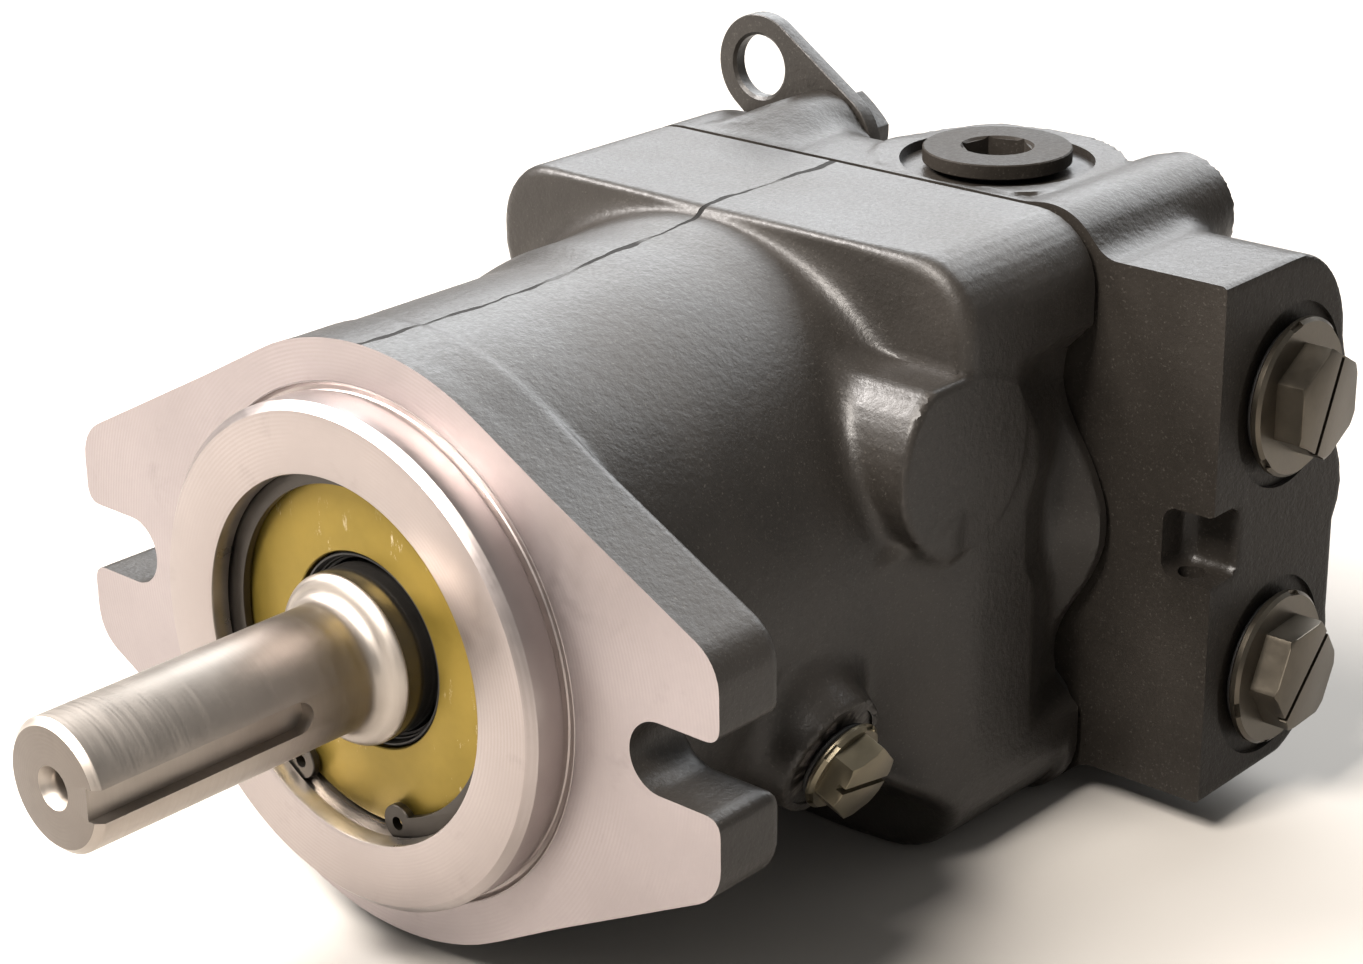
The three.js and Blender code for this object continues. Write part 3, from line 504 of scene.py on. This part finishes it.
def surface(name, field, low, high, step):
    """The zero surface of a field as a closed quad mesh, drawn onto the exact surface."""
    axes = [np.arange(a, b + step, step) for a, b in zip(low, high)]
    x, y, z = np.meshgrid(*axes, indexing="ij", sparse=True)
    d = np.broadcast_to(field(x, y, z), [len(a) for a in axes])
    inside = d < 0
    corners = [(i, j, k) for i in (0, 1) for j in (0, 1) for k in (0, 1)]
    n = np.array(d.shape) - 1
    count = sum(inside[i : i + n[0], j : j + n[1], k : k + n[2]].astype(np.int8) for i, j, k in corners)
    active = (count > 0) & (count < 8)
    cells = np.argwhere(active)
    number = np.full(active.shape, -1)
    number[active] = np.arange(len(cells))
    place, hits = np.zeros(cells.shape), np.zeros(len(cells))
    for a in corners:
        for axis in range(3):
            if a[axis]:
                continue
            b = list(a)
            b[axis] = 1
            da, db = d[tuple((cells + a).T)], d[tuple((cells + b).T)]
            cross = (da < 0) != (db < 0)
            t = np.where(cross, da / np.where(cross, da - db, 1), 0)[:, None]
            place += np.where(cross[:, None], np.array(a) + t * (np.array(b) - a), 0)
            hits += cross
    points = (cells + place / hits[:, None]) * step + np.array(low)
    faces = np.concatenate([quads(inside, number, axis) for axis in range(3)])
    return mesh_object(name, settle(points, field, step), faces)


def quads(inside, number, axis):
    """One quad for each grid edge along the axis that crosses the surface."""
    first, second = (axis + 1) % 3, (axis + 2) % 3
    a = np.moveaxis(inside, (axis, first, second), (0, 1, 2))
    cell = np.moveaxis(number, (axis, first, second), (0, 1, 2))
    change = (a[:-1] != a[1:])[:, 1:-1, 1:-1]
    i, j, k = np.nonzero(change)
    ring = [cell[i, j, k], cell[i, j + 1, k], cell[i, j + 1, k + 1], cell[i, j, k + 1]]
    made = np.stack(ring, axis=1)
    flip = ~a[i, j + 1, k + 1]
    made[flip] = made[flip][:, ::-1]
    return made


def settle(points, field, step):
    """Moves the points onto the field's zero surface along its slope."""
    h = 0.25
    for _ in range(2):
        x, y, z = points.T
        d = field(x, y, z)
        slope = np.stack(
            [
                field(x + h, y, z) - field(x - h, y, z),
                field(x, y + h, z) - field(x, y - h, z),
                field(x, y, z + h) - field(x, y, z - h),
            ],
            axis=1,
        ) / (2 * h)
        size = np.maximum((slope**2).sum(1), 0.25)
        move = (d / size)[:, None] * slope
        points = points - np.clip(move, -0.6 * step, 0.6 * step)
    return points


# ---------------------------------------------------------------- meshes


def new_object(name, data):
    obj = bpy.data.objects.new(name, data)
    bpy.context.scene.collection.objects.link(obj)
    return obj


def mesh_object(name, points, faces):
    """An object from points in millimetres."""
    mesh = bpy.data.meshes.new(name)
    mesh.from_pydata((np.asarray(points) * MM).tolist(), [], np.asarray(faces).tolist())
    return new_object(name, mesh)


def bmesh_object(name, bm):
    bmesh.ops.recalc_face_normals(bm, faces=bm.faces)
    mesh = bpy.data.meshes.new(name)
    bm.to_mesh(mesh)
    bm.free()
    return new_object(name, mesh)


def lathe(name, profile, segments=160):
    """A solid of revolution about Y from a closed profile of (radius, y)."""
    bm = bmesh.new()
    turns = [2 * math.pi * i / segments for i in range(segments)]
    rows = []
    for r, y in profile:
        if r == 0:
            rows.append([bm.verts.new((0, y * MM, 0))] * segments)
        else:
            rows.append([bm.verts.new((r * MM * math.cos(t), y * MM, r * MM * math.sin(t))) for t in turns])
    for a, b in zip(rows, rows[1:] + rows[:1]):
        for i in range(segments):
            j = (i + 1) % segments
            corners = list(dict.fromkeys([a[i], a[j], b[j], b[i]]))
            if len(corners) > 2:
                bm.faces.new(corners)
    return bmesh_object(name, bm)


def prism(name, outline, low, high, bevel=0.0, segments=3, least=25):
    """An outline in the XZ plane drawn out along Y, with its sharp edges bevelled."""
    bm = bmesh.new()
    bottom = [bm.verts.new((x * MM, low * MM, z * MM)) for x, z in outline]
    top = [bm.verts.new((x * MM, high * MM, z * MM)) for x, z in outline]
    bm.faces.new(bottom)
    bm.faces.new(reversed(top))
    for i in range(len(outline)):
        j = (i + 1) % len(outline)
        bm.faces.new((bottom[i], bottom[j], top[j], top[i]))
    bmesh.ops.recalc_face_normals(bm, faces=bm.faces)
    if bevel:
        sharp = [e for e in bm.edges if e.calc_face_angle(0) > math.radians(least)]
        bmesh.ops.bevel(
            bm, geom=sharp, offset=bevel * MM, segments=segments, profile=0.6, affect="EDGES",
            clamp_overlap=True,
        )
    return bmesh_object(name, bm)


def moved(obj, matrix):
    obj.data.transform(matrix)
    if matrix.determinant() < 0:
        obj.data.flip_normals()
    return obj


def at(x, y, z):
    return Matrix.Translation(Vector((x, y, z)) * MM)


TO_X = Matrix.Rotation(math.radians(-90), 4, "Z")  # turns +Y to +X
TO_Z = Matrix.Rotation(math.radians(90), 4, "X")  # turns +Y to +Z


def cylinder(radius, low, high, segments=96, chamfer=0.0):
    """A cylinder along Y."""
    profile = [(0, low), (radius, low), (radius, high), (0, high)]
    if chamfer:
        profile = [(0, low), (radius - chamfer, low), (radius, low + chamfer)]
        profile += [(radius, high - chamfer), (radius - chamfer, high), (0, high)]
    return lathe("cutter", profile, segments)


def applied(obj):
    """Replaces the object's mesh with its modified mesh."""
    made = bpy.data.meshes.new_from_object(obj.evaluated_get(bpy.context.evaluated_depsgraph_get()))
    made.materials.clear()
    obj.modifiers.clear()
    obj.data = made
    return obj


def boolean(obj, other, operation):
    """Combines the two, and removes the other; the second solver is for meshes the first refuses."""
    for solver in ("MANIFOLD", "EXACT"):
        modifier = obj.modifiers.new("boolean", "BOOLEAN")
        modifier.operation = operation
        modifier.solver = solver
        modifier.object = other
        bpy.context.view_layer.update()
        size = len(obj.evaluated_get(bpy.context.evaluated_depsgraph_get()).data.polygons)
        if size > 0 and size != len(obj.data.polygons):
            break
        obj.modifiers.clear()
    applied(obj)
    bpy.data.objects.remove(other)
    return obj


def carve(obj, *cutters):
    for cutter in cutters:
        boolean(obj, cutter, "DIFFERENCE")
    return obj


def joined(obj, other):
    return boolean(obj, other, "UNION")


def finish(obj, body, slot, *materials, nodes=(), angle=32):
    """Gives a piece its materials and shading, and its place in the frame."""
    for material in materials:
        obj.data.materials.append(material)
    obj.data.shade_smooth()
    obj.data.set_sharp_from_angle(angle=math.radians(angle))
    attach(obj, body)
    if nodes:
        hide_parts(*nodes)
    return obj


def paint_faces(obj, *tests):
    """Gives the next materials, in order, to the faces whose centre (mm) and normal pass each test."""
    mesh = obj.data
    count = len(mesh.polygons)
    centre, normal = np.zeros(count * 3), np.zeros(count * 3)
    mesh.polygons.foreach_get("center", centre)
    mesh.polygons.foreach_get("normal", normal)
    centre, normal = centre.reshape(-1, 3) / MM, normal.reshape(-1, 3)
    index = np.zeros(count, np.int32)
    for number, test in enumerate(tests, 1):
        index[test(centre, normal)] = number
    mesh.polygons.foreach_set("material_index", index)
    mesh.update()


# ---------------------------------------------------------------- housing


# the housing's cavity, from the seal bore back (radius, y)
CAVITY = [
    (0, -20), (58, -20), (58, 1.0), (45, 1.0), (45, 12), (36.3, 12), (36.3, 30), (33, 30), (33, 33),
    (60, 40), (60, 180), (0, 180),
]


def on_drain(obj):
    """Moves a piece made along +X from the shaft axis to the drain's axis."""
    return moved(obj, at(0, DRAIN_Y, 0) @ Matrix.Rotation(DRAIN, 4, "Y"))


def box_cutter(x0, x1, y0, y1, z0, z1):
    outline = [(x0, z0), (x1, z0), (x1, z1), (x0, z1)]
    return prism("cutter", outline, y0, y1)


def make_housing():
    body = surface("housing_casting", housing_field, (-112, -8, -88), (112, 180, 88), STEP)
    front = box_cutter(-130, 130, -20, 0, -100, 100)
    rear = box_cutter(-130, 130, HOUSING_END, 200, -100, 100)
    recess = cylinder(65.2, -10, 1.0, 192)
    inside = lathe("cutter", CAVITY, 128)
    carve(body, front, rear, recess, inside)
    for radius, low, high in ((14.2, 85.3, 100), (8.3, 45, 100)):
        carve(body, on_drain(moved(cylinder(radius, low, high), TO_X)))
    for x, z in CORNERS:
        carve(body, moved(cylinder(6.4, 143, 185, 32), at(x, 0, z)))
    painted, bare = cast_paint("housing_paint", seam=True, lightening=0.6), machined("machined_face")
    paint_faces(body, lambda c, n: (
        ((c[:, 1] < 1.05) & (n[:, 1] < -0.95)) | ((c[:, 1] > HOUSING_END - 0.1) & (n[:, 1] > 0.95))
    ))
    finish(body, "base", "housing_paint", painted, bare, nodes=["housing"], angle=38)


def make_pilot():
    profile = [
        (46.9, -12), (61.0, -12), (61.25, -11.93), (63.25, -9.95), (63.35, -9.7), (63.35, -1.9),
        (62.75, -1.3), (62.7, 0.35), (63.0, 0.7), (64.0, 0.75), (64.6, 0.45), (64.95, -0.12), (65.12, -0.02),
        (65.15, 0.9), (45.05, 0.9), (45.05, -3.4), (48.2, -3.4), (48.2, -6.6), (45.75, -6.6), (45.75, -11.0),
        (46.0, -11.6),
    ]
    pilot = lathe("housing_pilot", profile, 256)
    bore = dark_metal("oiled_bore", (0.27, 0.245, 0.22), 0.3, 500)
    paint_faces(pilot, lambda c, n: (np.hypot(c[:, 0], c[:, 2]) < 49) & (c[:, 1] > -11.4))
    bare = machined("machined_pilot", colour=(0.375, 0.334, 0.322), rough=0.36, turned=0.15)
    finish(pilot, "base", "housing_paint", bare, bore, nodes=["housing"], angle=24)


# ---------------------------------------------------------------- end cap


def bolt_seat(x, z):
    """The y of a cap bolt's seat, which is deeper under the lifting eye."""
    return 196 if x < 0 < z else 222


def make_end_cap():
    body = surface("end_cap_casting", cap_field, (-98, 165, -88), (126, 242, 96), STEP)
    carve(body, box_cutter(-150, 150, 150, CAP_START, -120, 120))
    for _, y, z in PORTS:
        carve(body, moved(moved(cylinder(24.5, PORT_FLOOR, 140, 160), TO_X), at(0, y, z)))
        carve(body, moved(moved(cylinder(15, 56, 140), TO_X), at(0, y, z)))
    carve(body, moved(moved(cylinder(26, 79, 120, 160), TO_Z), at(*TOP_PLUG, 0)))
    carve(body, moved(moved(cylinder(13.3, 50, 120), TO_Z), at(*TOP_PLUG, 0)))
    carve(body, box_cutter(-120, -16, 210, 270, 54, 120))
    carve(body, moved(moved(cylinder(3.5, -22, 0), TO_Z), at(111.5, 179, 0)))
    carve(body, cylinder(26.3, 160, 196))
    for x, z in CORNERS:
        seat = bolt_seat(x, z)
        carve(body, moved(cylinder(6.4, 160, 260, 32), at(x, 0, z)))
        carve(body, moved(cylinder(10.5, seat, 260, 48), at(x, 0, z)))
    carve(body, moved(cylinder(6.3, 180, 220, 32), at(EYE_BOLT[0], 0, EYE_BOLT[1])))
    for (_, y, z), across in zip(PORTS, (35, -35)):
        carve(body, moved(moved(cylinder(8, -6, 60, 32), TO_X), at(0, y, z)))
        carve(body, moved(cylinder(7, 160, y + 4, 32), at(0, 0, across)))
    paint = cast_paint("cap_paint", specular=0.20, gloss=0.06)
    # the +X port face gets the cap paint with almost no specular, darkening that side: painted shade
    shaded_port_face = cast_paint("port_face_shaded_paint", specular=0.07)
    paint_faces(body, lambda c, n: (c[:, 0] > 119) & (n[:, 0] > 0.9))
    finish(body, "base", "cap_paint", paint, shaded_port_face, nodes=["end_cap"], angle=38)


def make_gasket():
    low, high = HOUSING_END + 0.1, CAP_START - 0.1
    shrunk, bulge = ([(x * 0.968, z * 0.968) for x, z in outline] for outline in (BODY, BULGED))
    sheet = prism("gasket", shrunk, low, high)
    joined(sheet, prism("tab", bulge, low, high))
    carve(sheet, cylinder(60, 170, 174))
    for x, z in CORNERS:
        carve(sheet, moved(cylinder(6.4, 170, 174, 32), at(x, 0, z)))
    finish(sheet, "base", "gasket", rubber("gasket"), nodes=["end_cap_gasket"])


# ---------------------------------------------------------------- seal, retaining ring, shaft


def make_seal_parts():
    plate = lathe("seal_plate", [
        (24.6, -2.9), (24.9, -3.15), (43.2, -3.15), (43.9, -2.9), (44.5, -2.2), (44.6, 2.9), (41.6, 3.0),
        (41.6, 7), (44.6, 7.1), (44.6, 11.6), (27, 11.7), (27, 9), (24.4, 8.9),
    ], 192)
    finish(plate, "base", "zinc_plate", yellow_zinc("yellow_zinc"), nodes=["seal_carrier"])
    seal = lathe("seal_lip", [
        (23.9, -2.3), (24.2, -1.9), (24.2, 8.3), (22.9, 8.3), (22.9, 5), (21.9, 3), (21.8, 1.6), (21.9, 0.9),
        (22.4, 0.7), (22.7, -0.2), (23.0, -0.3), (23.2, -1.9), (23.5, -2.3),
    ], 160)
    finish(seal, "base", "rubber", rubber("seal_rubber"), nodes=["shaft_seal"])


def make_retaining_ring():
    marks_and_streak_highlight = arc(0, 0, 47.6, -78, 240, 120) + arc(0.8, 0.8, 41.4, 240, -78, 110)
    ring = prism("circlip", marks_and_streak_highlight, -6.1, -3.9, bevel=0.22, segments=2, least=40)
    for x, z in LUGS:
        joined(ring, moved(cylinder(4.7, -6.1, -3.9, 64, 0.25), at(x, 0, z)))
    for x, z in LUGS:
        carve(ring, moved(cylinder(1.75, -8, -2, 40), at(x, 0, z)))
    boolean(ring, cylinder(47.6, -8, -2, 160), "INTERSECT")
    steel = dark_metal("circlip_steel", (0.05, 0.045, 0.04), 0.36)
    finish(ring, "base", "ring_steel", steel, nodes=["retaining_ring"])


def make_shaft():
    fillet = [(15.875 + 5.0 * (1 - math.cos(t)), -16.8 + 5.0 * math.sin(t)) for t in np.linspace(0, 1.28, 10)]
    profile = [(0, -94), (13.9, -94), (14.25, -93.9), (15.75, -92.4), (15.875, -92.1), (15.875, -17.2)]
    profile += [(float(r), float(y)) for r, y in fillet]
    profile += [
        (20.3, -11.2), (20.75, -10.75), (21.25, -10.0), (21.4, -9.5), (21.4, -5.2), (21.3, -5.1),
        (21.3, 11.6), (20.3, 11.9), (20.3, 31), (24, 31), (24, 36), (18, 38), (18, 160), (15, 160),
        (15, 193), (0, 193),
    ]
    shaft = lathe("drive_shaft", profile, 160)
    half = 3.97  # half the keyway's width
    key = prism("cutter", arc(0, 0, half, 0, 180, 24) + [(-half, -64), (half, -64)], 11.8, 30)
    # the outline (x, z) is (across, along): it is laid on the shaft's +X side
    key.data.transform(Matrix(((0, 1, 0, 0), (0, 0, 1, 0), (1, 0, 0, 0), (0, 0, 0, 1))))
    key.data.transform(at(0, -37.6, 0))
    centre = lathe("cutter", [
        (0, -95), (5.4, -95), (5.2, -94), (4.1, -92.2), (3.55, -91.2), (3.4, -90.4), (3.4, -76), (0, -74),
    ], 64)
    carve(shaft, key, centre)
    # the seal journal gets a much darker steel than the rest of the shaft: a painted dark reflection of the
    # seal and shaded surroundings
    dark = dark_metal("seal_track_painted_dark", (0.10, 0.093, 0.085), 0.2, 900)
    end = machined("shaft_end", colour=(0.18, 0.16, 0.143), rough=0.4)
    paint_faces(
        shaft,
        lambda c, n: (c[:, 1] > -9.4) & (c[:, 1] < 12) & (np.hypot(c[:, 0], c[:, 2]) > 21),
        lambda c, n: (c[:, 1] < -93.8) & (n[:, 1] < -0.9),
    )
    finish(shaft, "rotor", "shaft_steel", ground_shaft("ground_shaft"), dark, end, nodes=["shaft"], angle=26)


# ---------------------------------------------------------------- plugs


def hexagon(across_flats, turn=0.0):
    r = across_flats / math.sqrt(3)
    turns = [math.radians(turn + 60 * i) for i in range(6)]
    return [(r * math.cos(t), r * math.sin(t)) for t in turns]


def hex_plug(name, flange_r, thick, across, height, stem_r, stem, notches, slot_turn):
    """A plug along +Y that seats at y = 0: notched flange, chamfered hexagon with a slot, and a stem."""
    top = thick + height
    flange = lathe(name, [
        (0, 0), (flange_r - 0.8, 0), (flange_r, 0.7), (flange_r, thick - 0.9), (flange_r - 0.9, thick),
        (0, thick),
    ], 128)
    for i in range(notches):
        a = math.radians(360 / notches * i + 12)
        notch = box_cutter(flange_r - 1.1, flange_r + 3, thick - 1.3, thick + 2, -2.2, 2.2)
        carve(flange, moved(notch, Matrix.Rotation(a, 4, "Y")))
    head = prism("head", hexagon(across), thick - 1, top, bevel=0.35, segments=2)
    corner = across / math.sqrt(3)
    cone = lathe("cutter", [
        (0, thick - 2), (corner + 2, thick - 2), (corner + 2, top - 1.7), (corner - 1.4, top + 0.05),
        (0, top + 0.05),
    ], 96)
    boolean(head, cone, "INTERSECT")
    joined(flange, head)
    slot = box_cutter(-across, across, top - 2.2, top + 3, -0.8, 0.8)
    carve(flange, moved(slot, Matrix.Rotation(math.radians(slot_turn), 4, "Y")))
    groove = [(stem_r - 0.9 * (i % 2), -1.0 - 0.9 * i) for i in range(int(stem / 0.9) - 1)]
    thread = [(0, 0.5), (stem_r, 0.5), (stem_r, -0.5)] + groove + [(stem_r - 1.5, -stem), (0, -stem)]
    return joined(flange, lathe("stem", thread, 64))


def make_plugs():
    black = dark_metal("plug_black_oxide", (0.085, 0.074, 0.058), 0.34, 800)
    olive = dark_metal("plug_olive_zinc", (0.165, 0.145, 0.102), 0.38, 800)
    seat = PORT_FLOOR + 1.6 + 0.6
    for (letter, y, z), turn, slot_turn in zip(PORTS, (30, 3), (36, 42)):
        plug = hex_plug("port_plug_" + letter + "_head", 20.9, 3.0, 26, 8.0, 14.6, 12, 6, slot_turn)
        spin = Matrix.Rotation(math.radians(turn), 4, "X")
        moved(plug, at(seat, y, z) @ spin @ TO_X)
        finish(plug, "base", "port_plug_plastic", black, nodes=["port_plug_" + letter], angle=28)
    small = hex_plug("drain_plug_head", 12.2, 2.4, 18.5, 6.6, 7.9, 9, 5, -27)
    spin = Matrix.Rotation(math.radians(14), 4, "X")
    on_drain(moved(small, at(88.2, 0, 0) @ spin @ TO_X))
    finish(small, "base", "drain_plug_plastic", olive, nodes=["drain_plug"], angle=28)
    top = lathe("top_plug_disc", [
        (0, 0), (19.6, 0), (19.9, 0.3), (19.9, 3.7), (19.55, 4.03), (13, 4.05), (0, 4.05),
    ], 160)
    joined(top, lathe("stem", [(0, 0.5), (13, 0.5), (13, -15), (12, -16), (0, -16)], 96))
    socket = prism("cutter", hexagon(17.0), -6, 8)
    lead = lathe("cutter", [(0, 3.4), (9.1, 3.4), (10.4, 4.6), (0, 4.6)], 96)
    carve(top, socket, lead)
    moved(top, at(*TOP_PLUG, 80.8) @ Matrix.Rotation(math.radians(20), 4, "Z") @ TO_Z)
    painted = cast_paint("plug_paint", specular=0.05)
    finish(top, "base", "top_plug_steel", painted, nodes=["top_plug"], angle=28)


def torus(name, radius, thick, squash):
    """A ring about Y, pressed along it by the squash factor."""
    section = arc(radius, 0, thick / 2, 0, 345, 15)
    return lathe(name, [(r, y * squash) for r, y in section], 96)


def make_rings():
    black = rubber("o_ring_rubber")
    for letter, y, z in PORTS:
        ring = torus("port_o_ring_" + letter, 17.9, 1.9, 0.84)
        moved(ring, at(PORT_FLOOR + 1.1, y, z) @ TO_X)
        finish(ring, "base", "rubber", black, nodes=["port_plug_" + letter + "_o_ring"])
    ring = torus("drain_o_ring", 9.9, 1.9, 0.84)
    on_drain(moved(ring, at(87.1, 0, 0) @ TO_X))
    finish(ring, "base", "rubber", black, nodes=["drain_plug_o_ring"])
    ring = torus("top_o_ring", 15.3, 1.4, 0.84)
    moved(ring, at(*TOP_PLUG, 79.9) @ TO_Z)
    finish(ring, "base", "rubber", black, nodes=["top_plug_o_ring"])
    ring = torus("seal_plate_o_ring", 43.3, 2.7, 1.1)
    moved(ring, at(0, 5, 0))
    finish(ring, "base", "rubber", black, nodes=["seal_carrier_o_ring"])


# ---------------------------------------------------------------- lifting eye and cap bolts


def make_lifting_eye():
    along = math.degrees(math.atan2(EYE[1] - EYE_BOLT[1], EYE[0] - EYE_BOLT[0]))
    outline = arc(*EYE, 15, along - 90, along + 90, 40) + arc(*EYE_BOLT, 16, along + 90, along + 270, 40)
    plate = prism("lifting_eye_plate", outline, 210.3, 215.3, bevel=0.7, segments=3, least=50)
    hole = lathe("cutter", [
        (0, 209), (9.9, 209), (9.9, 210.3), (9.0, 211.1), (9.0, 214.5), (9.9, 215.3), (9.9, 217), (0, 217),
    ], 96)
    bolt_place = at(EYE_BOLT[0], 0, EYE_BOLT[1])
    carve(plate, moved(hole, at(EYE[0], 0, EYE[1])), moved(cylinder(6.3, 209, 217, 48), bolt_place))
    painted = cast_paint("eye_paint")
    finish(plate, "base", "eye_steel", painted, nodes=["lifting_eye"])
    top = 215.6 + 9
    head = prism("lifting_eye_bolt_head", hexagon(22, 20), 216.4, top, bevel=0.3, segments=2)
    cone = lathe("cutter", [(0, 215), (15, 215), (15, top - 1.9), (10.6, top + 0.02), (0, top + 0.02)], 96)
    boolean(head, cone, "INTERSECT")
    joined(head, lathe("washer", [
        (0, 215.62), (13.2, 215.62), (13.4, 215.8), (13.4, 216.4), (12.9, 216.7), (0, 216.7),
    ], 96))
    joined(head, cylinder(6, 186, 217, 48))
    moved(head, bolt_place)
    finish(head, "base", "eye_bolt_steel", painted, nodes=["lifting_eye_bolt"])


def make_cap_bolts():
    steel = dark_metal("screw_steel", (0.11, 0.105, 0.10), 0.38)
    for i, (x, z) in enumerate(CORNERS):
        seat = bolt_seat(x, z) + 0.3
        head = lathe("cap_bolt_%d" % (i + 1), [
            (0, seat), (9.3, seat), (9.4, seat + 0.2), (9.4, seat + 11), (8.9, seat + 11.7), (8.2, seat + 12),
            (0, seat + 12),
        ], 72)
        carve(head, prism("cutter", hexagon(10), seat + 5, seat + 14))
        lead = [(0, seat + 11.4), (5.3, seat + 11.4), (6.6, seat + 12.6), (0, seat + 12.6)]
        carve(head, lathe("cutter", lead, 48))
        joined(head, cylinder(6, 146, seat + 1, 32, 0.6))
        moved(head, at(x, 0, z))
        finish(head, "base", "screw_steel", steel, nodes=["end_cap_bolt_%d" % (i + 1)])


# ---------------------------------------------------------------- inner pieces kept from the CAD


def dress_inner_nodes():
    race = dark_metal("bearing_steel", (0.68, 0.67, 0.66), 0.16, 700)
    ground = dark_metal("ground_steel", (0.55, 0.54, 0.53), 0.28, 500)
    spring = dark_metal("spring_steel", (0.22, 0.215, 0.21), 0.34, 500)
    bronze = dark_metal("bronze", (0.58, 0.36, 0.16), 0.32, 500)
    piston = dark_metal("piston_steel", (0.63, 0.62, 0.61), 0.2, 900)
    looks = {
        "bearing": race, "block_spring": spring, "valve_plate": bronze, "slipper": bronze, "piston": piston,
    }
    for name, node in NODES.items():
        if node.hide_render:
            continue
        chosen = next((m for start, m in looks.items() if start in name), ground)
        node.data.materials.clear()
        node.data.materials.append(chosen)


make_camera()
make_lights()
make_floor()
make_housing()
make_pilot()
make_end_cap()
make_gasket()
make_seal_parts()
make_retaining_ring()
make_shaft()
make_plugs()
make_rings()
make_lifting_eye()
make_cap_bolts()
dress_inner_nodes()
